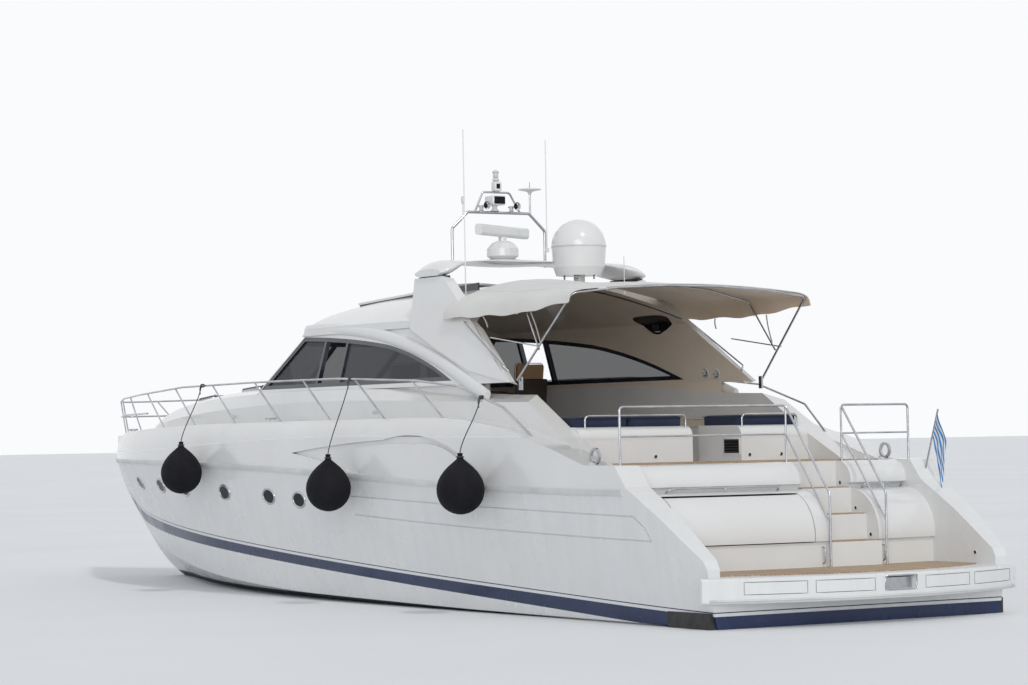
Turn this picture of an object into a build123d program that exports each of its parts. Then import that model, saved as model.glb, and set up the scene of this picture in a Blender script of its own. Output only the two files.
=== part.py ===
from build123d import *
import os
from math import atan2, cos, degrees, hypot, radians, sin, sqrt, tan

os.makedirs("parts", exist_ok=True)

# Open sports motor yacht afloat, in millimetres.
# X runs forward from the aft edge of the bathing platform, Y to port, Z up from the waterline.

# Hull
length = 20270
beam = 4930
hull_aft_x = 600
deadrise = 17.5
chine_z = 20
keel_aft_z = chine_z - 2050 * tan(radians(deadrise))
edge_z = 2410

# Pocket in the stern that holds platform and transom
pocket_fwd_x = 2900
pocket_y = 2000
platform_bottom_z = 285
platform_z = 568
teak_thickness = 12
platform_y = 2275
platform_corner_x = 560
platform_round = 30
platform_teak_y = 1970
platform_teak_aft_x = 330

# Transom and stairs
transom_x = 1490
transom_radius = 12500
deck_z = 1800
transom_top_x = 2200
stair_port_y = -280
stair_stbd_y = -1040
stair_steps = 4
stair_depth = 280
stair_rise = (deck_z - platform_z) / stair_steps

# Garage behind the transom
garage_port_y = 1800
garage_stbd_y = -60
garage_bottom_z = 880
garage_top_z = 1460
garage_fwd_x = 4300
door_gap = 12

# Cockpit well
well_y = 1720
well_aft_x = 2980
well_fwd_x = 10900
sole_z = deck_z

# Wheelhouse
base_z = 2820
eave_z = 3600
screen_base_x = 12930
screen_corner_x = 11870
screen_corner_y = 1763
screen_top_x = 11700
screen_top_corner_x = 10790
screen_top_corner_y = 1560
house_aft_x = 4300
house_aft_y = 1900
house_top_aft_y = 1730
wall = 70
glass = 10
leg_foot_x = 4850
leg_foot_z = 2740
leg_head_x = 6850
leg_head_z = 4120

# Hull to deck joint in side view: an arc that lifts, an arc that levels out, then a line
joint_low_x = 1500
joint_low_z = 1498
joint_turn_x = 7000
joint_level_x = 0.814 * length
joint_slope = 0.05


def joint_z(x):
    """Height of the hull to deck joint."""
    turn_z = joint_low_z + joint_slope * (joint_turn_x - joint_low_x) / 2
    if x < joint_turn_x:
        return joint_low_z + joint_slope * (x - joint_low_x) ** 2 / (joint_turn_x - joint_low_x) / 2
    run = min(x, joint_level_x) - joint_turn_x
    return turn_z + joint_slope * run * (1 - run / (joint_level_x - joint_turn_x) / 2)


def joint_edge(shift):
    """Joint line as edges, well past both ends of the boat, moved up by a shift."""
    points = []
    for x in (-1000, (joint_turn_x - 1000) / 2, joint_turn_x, (joint_turn_x + joint_level_x) / 2, joint_level_x,
              length + 1000):
        points.append((x, joint_z(x) + shift))
    ThreePointArc(points[0], points[1], points[2])
    ThreePointArc(points[2], points[3], points[4])
    Line(points[4], points[5])


# Hull stations, aft to forward
# share of length, keel z, chine y, chine z, side y, topside bulge, edge y, edge z, step share
hull_lines = [
    (hull_aft_x / length, keel_aft_z, 2050, chine_z, 2275, 25, 2150, edge_z, 0.70),
    (0.158, keel_aft_z - 24, 2090, 25, 2390, 28, 2250, edge_z, 0.70),
    (0.286, keel_aft_z - 44, 2110, 35, 2445, 30, 2295, edge_z, 0.70),
    (0.414, keel_aft_z - 54, 2110, 60, beam / 2, 28, 2315, edge_z, 0.69),
    (0.543, keel_aft_z - 49, 2040, 130, 2440, 18, 2285, edge_z, 0.58),
    (0.661, keel_aft_z - 14, 1830, 270, 2310, 5, 2155, 2395, 0.42),
    (0.765, -510, 1420, 500, 1965, -20, 1815, 2355, 0.34),
    (0.8535, -140, 900, 800, 1385, -30, 1260, 2318, 0.30),
    (0.9225, 390, 420, 1100, 760, -25, 640, 2298, 0.28),
    (0.9694, 1130, 150, 1400, 320, -12, 215, 2288, 0.28),
    (0.9941, 1620, 30, 1700, 95, -4, 40, 2283, 0.28),
    (0.999, 1760, 10, 1790, 35, -1, 20, 2281, 0.28),
]
stations = [(share * length, *rest) for share, *rest in hull_lines]
step_inset = 12
ledge_width = 24
ledge_rise = 14
gunwale_bulge = 26
full_size_y = 600
least_half = 6


def between(x, column):
    """Value of a station column at x, straight between stations."""
    for low, high in zip(stations, stations[1:]):
        if low[0] <= x <= high[0]:
            return low[column] + (high[column] - low[column]) * (x - low[0]) / (high[0] - low[0])
    return stations[-1][column]


def hull_form(proud):
    """Body from keel to deck edge, its sides moved out by a distance."""
    with BuildPart() as form:
        for x, keel_z, chine_y, chine_h, side_y, bulge, edge_y, top_z, step_share in stations:
            side_z = joint_z(x)
            step_z = side_z + step_share * (top_z - side_z)
            ledge_z = step_z + ledge_rise
            chine_at = max(chine_y + proud, least_half)
            side_at = max(side_y + proud, 2 * least_half)
            top_at = max(edge_y + proud, least_half)
            detail = min(1, side_y / full_size_y)
            step_y = side_at - step_inset * detail
            ledge_y = step_y - ledge_width * detail
            gunwale_y = (ledge_y + top_at) / 2 + gunwale_bulge * detail
            mid_y = (chine_at + side_at) / 2 + bulge
            with BuildSketch(Plane.YZ.offset(x + (proud if x > 0.995 * length else 0))):
                with BuildLine():
                    for s in (1, -1):
                        Line((0, keel_z), (s * chine_at, chine_h))
                        ThreePointArc((s * chine_at, chine_h), (s * mid_y, (chine_h + side_z) / 2),
                                      (s * side_at, side_z))
                        Line((s * side_at, side_z), (s * step_y, step_z))
                        Line((s * step_y, step_z), (s * ledge_y, ledge_z))
                        ThreePointArc((s * ledge_y, ledge_z), (s * gunwale_y, (ledge_z + top_z) / 2),
                                      (s * top_at, top_z))
                    Line((top_at, top_z), (-top_at, top_z))
                make_face()
        loft()
    return form.part


def side_cut(lines, arcs):
    """Outline in side view carried across the boat."""
    with BuildPart() as form:
        with BuildSketch(Plane.XZ.offset(-beam)):
            with BuildLine():
                for run in lines:
                    Polyline(*run)
                for start, mid, end in arcs:
                    ThreePointArc(start, mid, end)
            make_face()
        extrude(amount=2 * beam)
    return form.part


envelope = hull_form(0)

# Groove in the topsides, a long outline that closes at both ends
groove_width = 18
groove_depth = 14


def groove_outline(inset):
    """Outline of the groove's outer or inner edge, carried across the boat."""
    aft_low = (1480 + 2 * inset, 950 + inset)
    aft_high = (1790 + inset / 2, 1240 - inset)
    fwd_high = (8250, 1436 - inset)
    fwd_low = (8000, 1170 + inset)
    return side_cut([[aft_high, (1590 + inset, 1110), aft_low]],
                    [(aft_high, (4950, 1325 - inset), fwd_high), (fwd_high, (8590 - inset, 1330), fwd_low),
                     (fwd_low, (5000, 1042 + inset), aft_low)])


with BuildPart() as groove:
    add(groove_outline(0))
    add(groove_outline(groove_width), mode=Mode.SUBTRACT)
    add(hull_form(-groove_depth), mode=Mode.SUBTRACT)

# Lower moulding
shaft_y = 850
shaft_x = 2300
shaft_z = -800
shaft_angle = 9
shaft_radius = 32
shaft_clearance = 6
shaft_length = 3700
rudder_x = 1560
rudder_top_z = -450
rudder_foot_z = -1090
post_radius = 30
post_top_z = -200
bearing_clearance = 0.1

with BuildPart() as hull:
    add(envelope)
    with BuildSketch(Plane.XZ.offset(-beam)):
        with BuildLine():
            joint_edge(0)
            Polyline((length + 1000, joint_z(length)), (length + 1000, -2000), (-1000, -2000),
                     (-1000, joint_z(-1000)))
        make_face()
    extrude(amount=2 * beam, mode=Mode.INTERSECT)
    with Locations((pocket_fwd_x / 2 - 500, 0, platform_bottom_z + 1000)):
        Box(pocket_fwd_x + 1000, 2 * pocket_y, 2000, mode=Mode.SUBTRACT)
    with BuildSketch(Plane.XZ.offset(-beam)):
        with BuildLine():
            Polyline((-100, 4000), (2100, 4000), (2100, deck_z), (1900, 1560), (1300, 1210), (650, 760),
                     (hull_aft_x - 50, platform_z), (-100, platform_z), close=True)
        make_face()
    extrude(amount=2 * beam, mode=Mode.SUBTRACT)
    with Locations(((pocket_fwd_x + garage_fwd_x) / 2, (garage_port_y + garage_stbd_y) / 2,
                    (garage_bottom_z + garage_top_z) / 2)):
        Box(garage_fwd_x - pocket_fwd_x, garage_port_y - garage_stbd_y, garage_top_z - garage_bottom_z,
            mode=Mode.SUBTRACT)
    for s in (1, -1):
        shaft_plane = Plane(origin=(shaft_x, s * shaft_y, shaft_z), x_dir=(0, 1, 0),
                            z_dir=(cos(radians(shaft_angle)), 0, sin(radians(shaft_angle))))
        with BuildSketch(shaft_plane):
            Circle(shaft_radius + shaft_clearance)
        extrude(amount=shaft_length + 60, mode=Mode.SUBTRACT)
        with BuildSketch(Plane.XY.offset(rudder_top_z)):
            with Locations((rudder_x, s * shaft_y)):
                Circle(post_radius + bearing_clearance)
        extrude(amount=post_top_z + 10 - rudder_top_z, mode=Mode.SUBTRACT)
    add(groove.part, mode=Mode.SUBTRACT)
hull.part.label = "hull"
export_step(hull.part, "parts/hull.step")

# Coachroof stations, aft to forward
# x, base y, knuckle y, knuckle z, shoulder y, shoulder z, ridge z
roof_stations = [
    (2300, 1990, 1960, 2640, 1880, base_z, 2850),
    (9000, 2000, 1960, 2670, 1880, base_z, 2900),
    (12000, 1880, 1840, 2640, 1740, base_z, 2960),
    (0.7055 * length, 1600, 1550, 2560, 1360, 2760, 2950),
    (0.819 * length, 1030, 980, 2450, 820, 2610, 2790),
    (0.905 * length, 320, 290, 2330, 230, 2370, 2430),
]
aft_sweep = [(-100, deck_z), (3020, deck_z), (3700, 2130), (leg_foot_x, leg_foot_z + 40)]

with BuildPart() as trunk:
    for x, base_y, knuckle_y, knuckle_z, shoulder_y, shoulder_z, ridge_z in roof_stations:
        with BuildSketch(Plane.YZ.offset(x)):
            with BuildLine():
                for s in (1, -1):
                    Polyline((0, sole_z), (s * base_y, sole_z), (s * knuckle_y, knuckle_z),
                             (s * shoulder_y, shoulder_z))
                ThreePointArc((shoulder_y, shoulder_z), (0, ridge_z), (-shoulder_y, shoulder_z))
            make_face()
    loft()
    with BuildSketch(Plane.XZ.offset(-beam)):
        with BuildLine():
            Polyline(*aft_sweep, (leg_foot_x + 300, base_z + 30), (leg_foot_x + 300, 4000), (-100, 4000), close=True)
        make_face()
    extrude(amount=2 * beam, mode=Mode.SUBTRACT)

# Outer form of the wheelhouse: plan outline at its base and at its eaves
with BuildPart() as house_outer:
    for z, front_x, corner_x, corner_y, aft_y in (
            (base_z, screen_base_x, screen_corner_x, screen_corner_y, house_aft_y),
            (eave_z, screen_top_x, screen_top_corner_x, screen_top_corner_y, house_top_aft_y)):
        with BuildSketch(Plane.XY.offset(z)):
            with BuildLine():
                ThreePointArc((corner_x, corner_y), (front_x, 0), (corner_x, -corner_y))
                Polyline((corner_x, -corner_y), (house_aft_x, -aft_y), (house_aft_x, aft_y),
                         (corner_x, corner_y))
            make_face()
    loft(ruled=True)

# Scallop in the sides of the deck moulding, a lens with a raised pillow in it
scallop_depth = 45
scallop_tip = (9580, 1985)
scallop_peak = (7140, 2140)
scallop_tail = (4740, 1660)
scallop_sill_aft = (4760, 1600)
scallop_sill_fwd = (8000, 1735)
pillow_fwd = (7850, 2030)
pillow_top = (6300, 2078)
pillow_tail = (4960, 1608)
with BuildPart() as scallop:
    add(side_cut([[scallop_tail, scallop_sill_aft, scallop_sill_fwd]],
                 [(scallop_tip, (8500, 2075), scallop_peak), (scallop_peak, (5650, 2070), scallop_tail),
                  (scallop_sill_fwd, (8650, 1855), scallop_tip)]))
    add(side_cut([[pillow_tail, (7700, 1722), (7850, 1850), pillow_fwd]],
                 [(pillow_fwd, (7100, 2082), pillow_top), (pillow_top, (5550, 1975), pillow_tail)]),
        mode=Mode.SUBTRACT)
    add(hull_form(-scallop_depth), mode=Mode.SUBTRACT)

# Upper moulding: sides, side decks and the walls of the aft cockpit
coaming_y = 1960
side_deck_aft_x = 6300
with BuildPart() as deck:
    add(envelope)
    with BuildSketch(Plane.XZ.offset(-beam)):
        with BuildLine():
            joint_edge(0)
            Polyline((length + 1000, joint_z(length)), (length + 1000, 5000), (-1000, 5000),
                     (-1000, joint_z(-1000)))
        make_face()
    extrude(amount=2 * beam, mode=Mode.INTERSECT)
    with BuildSketch(Plane.XZ.offset(-beam)):
        with BuildLine():
            Polyline((-100, 4000), (6200, 4000), (6200, edge_z + 5), (5400, 2370), (4400, 2255), (3300, 1990),
                     (2700, deck_z + 10), (2100, deck_z), (1900, 1560), (1300, 1210), (650, 760),
                     (hull_aft_x - 50, platform_z), (-100, platform_z), close=True)
        make_face()
    extrude(amount=2 * beam, mode=Mode.SUBTRACT)
    with Locations((pocket_fwd_x / 2 - 500, 0, platform_bottom_z + 1000)):
        Box(pocket_fwd_x + 1000, 2 * pocket_y, 2000, mode=Mode.SUBTRACT)
    with Locations(((well_aft_x - 80 + side_deck_aft_x) / 2, 0, deck_z + 600)):
        Box(side_deck_aft_x - well_aft_x + 80, 2 * coaming_y, 1200, mode=Mode.SUBTRACT)
    with BuildSketch(Plane.XZ.offset(-beam)):
        with BuildLine():
            Polyline((length + 200, joint_z(length) - 0.5), (length - 10, joint_z(length) + 0.5),
                     (length - 410, 2290), (length - 410, 3000), (length + 200, 3000), close=True)
        make_face()
    extrude(amount=2 * beam, mode=Mode.SUBTRACT)
    with Locations(((well_aft_x - 200 + well_fwd_x) / 2, 0, sole_z + 1500)):
        Box(well_fwd_x - well_aft_x + 200, 2 * well_y, 3000, mode=Mode.SUBTRACT)
    add(scallop.part, mode=Mode.SUBTRACT)
deck.part.label = "deck"
export_step(deck.part, "parts/deck.step")

# Coachroof with the cockpit coamings, on the deck
with BuildPart() as coachroof:
    add(trunk.part)
    add(house_outer.part, mode=Mode.SUBTRACT)
    with Locations(((well_aft_x - 200 + well_fwd_x) / 2, 0, sole_z + 1500)):
        Box(well_fwd_x - well_aft_x + 200, 2 * well_y, 3000, mode=Mode.SUBTRACT)
    add(deck.part, mode=Mode.SUBTRACT)
    add(hull.part, mode=Mode.SUBTRACT)
coachroof.part.label = "coachroof"
export_step(coachroof.part, "parts/coachroof.step")

# Crowned roof above the eaves, aft to forward: x, shoulder y, ridge z
roof_crowns = [
    (house_aft_x, 1740, 4150),
    (7000, 1730, 4180),
    (9500, 1690, 4170),
    (11200, 1640, 4030),
    (12500, 1560, 3700),
]
eave_lip = 60
overhang = 30
# Rise over the eaves and how far aft the front edge lies there
roof_rake = [(0, 0), (150, 240), (350, 600), (700, 1500)]


def house_form(inset):
    """Walls from base to eaves, drawn in by an inset."""
    with BuildPart() as form:
        for z, front_x, corner_x, corner_y, aft_y in (
                (base_z, screen_base_x, screen_corner_x, screen_corner_y, house_aft_y),
                (eave_z, screen_top_x, screen_top_corner_x, screen_top_corner_y, house_top_aft_y)):
            with BuildSketch(Plane.XY.offset(z)):
                with BuildLine():
                    ThreePointArc((corner_x - inset, corner_y - inset), (front_x - inset, 0),
                                  (corner_x - inset, inset - corner_y))
                    Polyline((corner_x - inset, inset - corner_y), (house_aft_x, inset - aft_y),
                             (house_aft_x, aft_y - inset), (corner_x - inset, corner_y - inset))
                make_face()
        loft(ruled=True)
    return form.part


def roof_front(inset, drop):
    """Plan outline of the roof, raked aft above the eaves."""
    with BuildPart() as form:
        for rise, shift in roof_rake:
            corner = screen_top_corner_x + overhang - inset - shift
            corner_y = screen_top_corner_y + overhang - inset
            aft_y = house_top_aft_y + overhang - inset
            with BuildSketch(Plane.XY.offset(eave_z - drop + rise)):
                with BuildLine():
                    ThreePointArc((corner, corner_y), (screen_top_x + overhang - inset - shift, 0),
                                  (corner, -corner_y))
                    Polyline((corner, -corner_y), (house_aft_x, -aft_y), (house_aft_x, aft_y), (corner, corner_y))
                make_face()
        loft()
    return form.part


def roof_form(inset, drop):
    """Crowned roof over the eaves, drawn in and down."""
    with BuildPart() as form:
        for x, shoulder_y, ridge_z in roof_crowns:
            side = shoulder_y - inset
            with BuildSketch(Plane.YZ.offset(x)):
                with BuildLine():
                    ThreePointArc((side, eave_z + eave_lip - drop), (0, ridge_z - drop),
                                  (-side, eave_z + eave_lip - drop))
                    Polyline((-side, eave_z + eave_lip - drop), (-side, eave_z - drop),
                             (side, eave_z - drop), (side, eave_z + eave_lip - drop))
                make_face()
        loft()
        add(roof_front(inset, drop), mode=Mode.INTERSECT)
    return form.part


# Side window opening in side view: raked front, then a head in two arcs down to the tail
window_sill_z = base_z + 55
window_tail_x = 6410
window_fwd_x = 11764
window_head = (10780, 3585)
window_arc_mid = (9700, 3532)
window_arc_end = (8300, 3400)
window_tail_mid = (7350, 3195)
frame_width = 55
tail_inset = 5.0
sill_inset = 3.1
head_inset = 0.3


def window_prism(inset):
    """Side window outline carried across the boat, drawn in by an inset."""
    tail = (window_tail_x + tail_inset * inset, window_sill_z + inset)
    front = (window_fwd_x - sill_inset * inset, window_sill_z + inset)
    head = (window_head[0] - head_inset * inset, window_head[1] - inset)
    turn = (window_arc_end[0], window_arc_end[1] - inset)
    return side_cut([[tail, front, head]],
                    [(head, (window_arc_mid[0], window_arc_mid[1] - inset), turn),
                     (turn, (window_tail_mid[0], window_tail_mid[1] - inset), tail)])


# Windscreen opening seen from ahead
screen_sill_z = base_z + 75
screen_head_z = 3545
screen_sill_y = 1690
screen_head_y = 1490
mullion_y = 560


def screen_prism(inset, post):
    """Windscreen openings carried forward, in three panes where post is over zero."""
    with BuildPart() as form:
        with BuildSketch(Plane.YZ.offset(screen_top_corner_x - 300)):
            with BuildLine():
                Polyline((screen_sill_y - inset, screen_sill_z + inset),
                         (screen_head_y - inset, screen_head_z - inset),
                         (inset - screen_head_y, screen_head_z - inset),
                         (inset - screen_sill_y, screen_sill_z + inset), close=True)
            make_face()
            if post > 0:
                with Locations((mullion_y, screen_sill_z + 400), (-mullion_y, screen_sill_z + 400)):
                    Rectangle(post, 2000, mode=Mode.SUBTRACT)
        extrude(amount=4000)
    return form.part


def aft_cut():
    """All that lies aft of the line from coaming to roof edge."""
    with BuildPart() as form:
        with BuildSketch(Plane.XZ.offset(-beam)):
            with BuildLine():
                slope = (leg_head_x - leg_foot_x) / (leg_head_z - leg_foot_z)
                Polyline((1000, 2000), (leg_foot_x + slope * (2000 - leg_foot_z), 2000),
                         (leg_foot_x + slope * (6000 - leg_foot_z), 6000), (1000, 6000), close=True)
            make_face()
        extrude(amount=2 * beam)
    return form.part


side_window = window_prism(0)
side_pane = window_prism(frame_width)
screen_window = screen_prism(0, 0)
screen_pane = screen_prism(frame_width, 70)
open_aft = aft_cut()

# Legs of the arch, plates that lean in with the walls
leg_lean = degrees(atan2(house_aft_y - house_top_aft_y, eave_z - base_z))
leg_thickness = 150
leg_top_z = 4240
leg_top_aft_x = 6960
leg_top_fwd_x = 7720
leg_front_x = 7620
seam = 10

with BuildPart() as legs:
    for s in (1, -1):
        leg_plane = Plane(origin=(0, s * house_aft_y, base_z), x_dir=(1, 0, 0),
                          z_dir=(0, s * cos(radians(leg_lean)), sin(radians(leg_lean))))
        stretch = 1 / cos(radians(leg_lean))
        with BuildSketch(leg_plane):
            with BuildLine():
                pts = [(leg_foot_x + 170, 0), (leg_top_aft_x, leg_top_z - base_z),
                       (leg_top_fwd_x, leg_top_z - base_z), (leg_front_x, 3580 - base_z),
                       (6900, 3300 - base_z), (6000, 2990 - base_z)]
                Polyline(*[(x, -s * z * stretch) for x, z in pts], close=True)
            make_face()
        extrude(amount=-leg_thickness)

# Brow along the head of the side windows, from the front corner down into the coaming
brow_start = (10760, 3672)
brow_mid = (8600, 3545)
brow_end = (6300, 2960)
brow_tail = 900
brow_height = 170
brow_depth = 90


def on_wall(x, z):
    """Point on the port wall's outer face."""
    share = (z - base_z) / (eave_z - base_z)
    base_y = screen_corner_y + (house_aft_y - screen_corner_y) * (screen_corner_x - x) / (screen_corner_x - house_aft_x)
    top_run = (screen_top_corner_x - x) / (screen_top_corner_x - house_aft_x)
    top_y = screen_top_corner_y + (house_top_aft_y - screen_top_corner_y) * top_run
    return (x, base_y + (top_y - base_y) * share, z)


with BuildPart() as brow:
    with BuildLine():
        bend = ThreePointArc(on_wall(*brow_start), on_wall(*brow_mid), on_wall(*brow_end))
        Line(bend @ 1, bend @ 1 + (bend % 1) * brow_tail)
    out = (0, cos(radians(leg_lean)), sin(radians(leg_lean)))
    with BuildSketch(Plane(origin=bend @ 0, x_dir=out, z_dir=bend % 0)):
        Ellipse(brow_depth / 2, brow_height / 2)
    sweep()
    mirror(about=Plane.XZ)
    add(coachroof.part, mode=Mode.SUBTRACT)

roof_hole_aft_x = 8760
roof_hole_fwd_x = 10640
roof_hole_y = 680

with BuildPart() as hardtop:
    add(house_form(0))
    add(roof_form(0, 0))
    add(legs.part)
    add(brow.part)
    add(house_form(wall), mode=Mode.SUBTRACT)
    add(roof_form(wall, wall), mode=Mode.SUBTRACT)
    add(side_window, mode=Mode.SUBTRACT)
    add(screen_window, mode=Mode.SUBTRACT)
    add(open_aft, mode=Mode.SUBTRACT)
    with Locations(((roof_hole_aft_x + roof_hole_fwd_x) / 2, 0, eave_z + 600)):
        Box(roof_hole_fwd_x - roof_hole_aft_x, 2 * roof_hole_y, 900, mode=Mode.SUBTRACT)
hardtop.part.label = "hardtop"
export_step(hardtop.part, "parts/hardtop.step")

side_post_x = (9470, 10120)
side_post_width = 60


def pane_shell(outside, inside):
    """Thin skin that follows the walls, between two insets."""
    with BuildPart() as form:
        add(house_form(outside))
        add(house_form(inside), mode=Mode.SUBTRACT)
    return form.part


with BuildPart() as side_frames:
    add(pane_shell(8, wall))
    add(side_window, mode=Mode.INTERSECT)
    add(side_pane, mode=Mode.SUBTRACT)
with BuildPart() as bars:
    for x in side_post_x:
        with Locations((x, 0, base_z + 400)):
            Box(side_post_width, 2 * beam, 1600)
with BuildPart() as side_posts:
    add(pane_shell(8, wall))
    add(side_pane, mode=Mode.INTERSECT)
    add(bars.part, mode=Mode.INTERSECT)
with BuildPart() as screen_frame:
    add(pane_shell(8, wall))
    add(screen_window, mode=Mode.INTERSECT)
    add(screen_pane, mode=Mode.SUBTRACT)

with BuildPart() as window_frames:
    add(side_frames.part)
    add(side_posts.part)
    add(screen_frame.part)
window_frames.part.label = "window_frames"
export_step(window_frames.part, "parts/window_frames.step")

with BuildPart() as side_glass:
    add(pane_shell(30, 30 + glass))
    add(side_pane, mode=Mode.INTERSECT)
    with Locations(((side_post_x[0] + side_post_x[1]) / 2, 0, base_z + 400)):
        Box(side_post_x[1] - side_post_x[0] + side_post_width, 2 * beam, 1600, mode=Mode.SUBTRACT)

with BuildPart() as glazing:
    add(pane_shell(30, 30 + glass))
    add(screen_pane, mode=Mode.INTERSECT)
    add(side_glass.part)
glazing.part.label = "glazing"
export_step(glazing.part, "parts/glazing.step")


# Arch wing: y, mid x, mid z, chord, thickness
wing_sections = [
    (1620, 7345, 4290, 640, 110),
    (1480, 7370, 4335, 790, 200),
    (1150, 7620, 4425, 880, 110),
    (0, 8040, 4490, 900, 100),
    (-1150, 7620, 4425, 880, 110),
    (-1480, 7370, 4335, 790, 200),
    (-1620, 7345, 4290, 640, 110),
]
with BuildPart() as arch_wing:
    for y, x, z, chord, thickness in wing_sections:
        with BuildSketch(Plane(origin=(x, y, z), x_dir=(1, 0, 0), z_dir=(0, 1, 0))):
            Ellipse(chord / 2, thickness / 2)
    loft()
    with Locations((7345, 0, leg_top_z + seam - 500)):
        Box(2000, 2 * beam, 1000, mode=Mode.SUBTRACT)
arch_wing.part.label = "arch_wing"
export_step(arch_wing.part, "parts/arch_wing.step")

seal_height = 60
leg_top_y = house_aft_y - (leg_top_z - base_z) * tan(radians(leg_lean))
with BuildPart() as arch_seals:
    for s in (1, -1):
        with Locations(((leg_top_aft_x + leg_top_fwd_x) / 2, s * (leg_top_y - leg_thickness / 2),
                        leg_top_z + seam - seal_height / 2)):
            Box(leg_top_fwd_x - leg_top_aft_x - 120, leg_thickness - 60, seal_height)
    add(hardtop.part, mode=Mode.SUBTRACT)
arch_seals.part.label = "arch_seals"
export_step(arch_seals.part, "parts/arch_seals.step")


def tube(points, bend, radius):
    """Bent tube through a list of points."""
    with BuildPart() as form:
        with BuildLine():
            path = FilletPolyline(*points, radius=bend)
        start = path @ 0
        with BuildSketch(Plane(origin=start, z_dir=path % 0)):
            Circle(radius)
        sweep(path=path)
    return form.part


def rod(start, end, radius):
    """Straight round bar between two points."""
    direction = Vector(*end) - Vector(*start)
    with BuildPart() as form:
        with BuildSketch(Plane(origin=start, z_dir=direction)):
            Circle(radius)
        extrude(amount=direction.length)
    return form.part


# Signal mast on the wing
mast_x = 8150
mast_y = 740
mast_knee_z = 4950
mast_top_y = 490
mast_top_z = 5180
mast_radius = 20
mast_foot_z = 4452
hoop_top_z = 5455

with BuildPart() as mast:
    add(tube([(mast_x, mast_y, mast_foot_z), (mast_x, mast_y, mast_knee_z), (mast_x, mast_top_y, mast_top_z),
              (mast_x, -mast_top_y, mast_top_z), (mast_x, -mast_y, mast_knee_z),
              (mast_x, -mast_y, mast_foot_z)], 60, mast_radius))
    add(tube([(mast_x, 380, mast_top_z), (mast_x, 245, hoop_top_z), (mast_x, -175, hoop_top_z),
              (mast_x, -350, mast_top_z)], 50, mast_radius - 5))
    add(rod((mast_x, -510, mast_top_z - 30), (mast_x, -510, mast_top_z + 260), 14))
    add(rod((mast_x, 560, mast_top_z - 80), (mast_x, 560, mast_top_z + 110), 10))
    add(rod((mast_x, 35, hoop_top_z), (mast_x, 35, hoop_top_z + 150), 14))
    add(arch_wing.part, mode=Mode.SUBTRACT)
mast.part.label = "mast"
export_step(mast.part, "parts/mast.step")

# Lamps, searchlight, horns and the dish antenna carried by the mast
with BuildPart() as mast_fittings:
    with Locations((mast_x, -510, mast_top_z + 260 + 45)):
        Cone(40, 160, 30)
    with Locations((mast_x, -510, mast_top_z + 260 + 15)):
        Cylinder(40, 30)
    with Locations((mast_x, -510, mast_top_z + 260 + 68)):
        Cylinder(160, 16)
    with Locations((mast_x, 560, mast_top_z + 110 + 50)):
        Cylinder(28, 100)
    with Locations((mast_x, 35, hoop_top_z + 150 + 80)):
        Cylinder(50, 160)
    with Locations((mast_x, 60, mast_top_z + 20 + 30)):
        Cylinder(60, 60)
    with Locations((mast_x - 20, 60, mast_top_z + 80 + 75)):
        Box(240, 230, 150)
mast_fittings.part.label = "mast_fittings"
export_step(mast_fittings.part, "parts/mast_fittings.step")

# Radar: pedestal on the wing, scanner turning on it
radar_x = 8060
pedestal_radius = 215
pedestal_z = 4525
pedestal_top_z = 4790
with BuildPart() as radar_pedestal:
    with BuildSketch(Plane(origin=(radar_x, 0, 0), x_dir=(1, 0, 0), z_dir=(0, -1, 0))):
        with BuildLine():
            Polyline((0, pedestal_z - 60), (150, pedestal_z - 60), (150, pedestal_z + 10),
                     (pedestal_radius, pedestal_z + 60), (pedestal_radius, pedestal_z + 160),
                     (150, pedestal_top_z - 30), (90, pedestal_top_z), (0, pedestal_top_z), close=True)
        make_face()
    revolve(axis=Axis((radar_x, 0, 0), (0, 0, 1)))
    add(arch_wing.part, mode=Mode.SUBTRACT)
radar_pedestal.part.label = "radar_pedestal"
export_step(radar_pedestal.part, "parts/radar_pedestal.step")

scanner_length = 1250
scanner_turn = 117
running_gap = 0.3
with BuildPart() as radar_scanner:
    with BuildSketch(Plane(origin=(radar_x, 0, pedestal_top_z + running_gap), z_dir=(0, 0, 1))):
        Circle(55)
    extrude(amount=60)
    scan_dir = (cos(radians(scanner_turn)), sin(radians(scanner_turn)), 0)
    with BuildSketch(Plane(origin=(radar_x - scan_dir[0] * scanner_length / 2,
                                   -scan_dir[1] * scanner_length / 2, pedestal_top_z + 130),
                           x_dir=(-scan_dir[1], scan_dir[0], 0), z_dir=scan_dir)):
        RectangleRounded(110, 150, 40)
    extrude(amount=scanner_length)
radar_scanner.part.label = "radar_scanner"
export_step(radar_scanner.part, "parts/radar_scanner.step")

# Satellite dome on a short post behind the wing
dome_x = 7040
dome_y = -550
dome_radius = 365
dome_z = 4275
with BuildPart() as satellite_dome:
    with BuildSketch(Plane(origin=(dome_x, dome_y, 0), x_dir=(1, 0, 0), z_dir=(0, -1, 0))):
        with BuildLine():
            Polyline((0, dome_z + 385 + dome_radius), (0, 4000), (75, 4000), (75, dome_z),
                     (dome_radius - 60, dome_z), (dome_radius - 20, dome_z + 110), (dome_radius, dome_z + 385))
            ThreePointArc((dome_radius, dome_z + 385),
                          (dome_radius * cos(radians(45)), dome_z + 385 + dome_radius * sin(radians(45))),
                          (0, dome_z + 385 + dome_radius))
        make_face()
    revolve(axis=Axis((dome_x, dome_y, 0), (0, 0, 1)))
    add(roof_form(0, 0), mode=Mode.SUBTRACT)
satellite_dome.part.label = "satellite_dome"
export_step(satellite_dome.part, "parts/satellite_dome.step")

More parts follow.
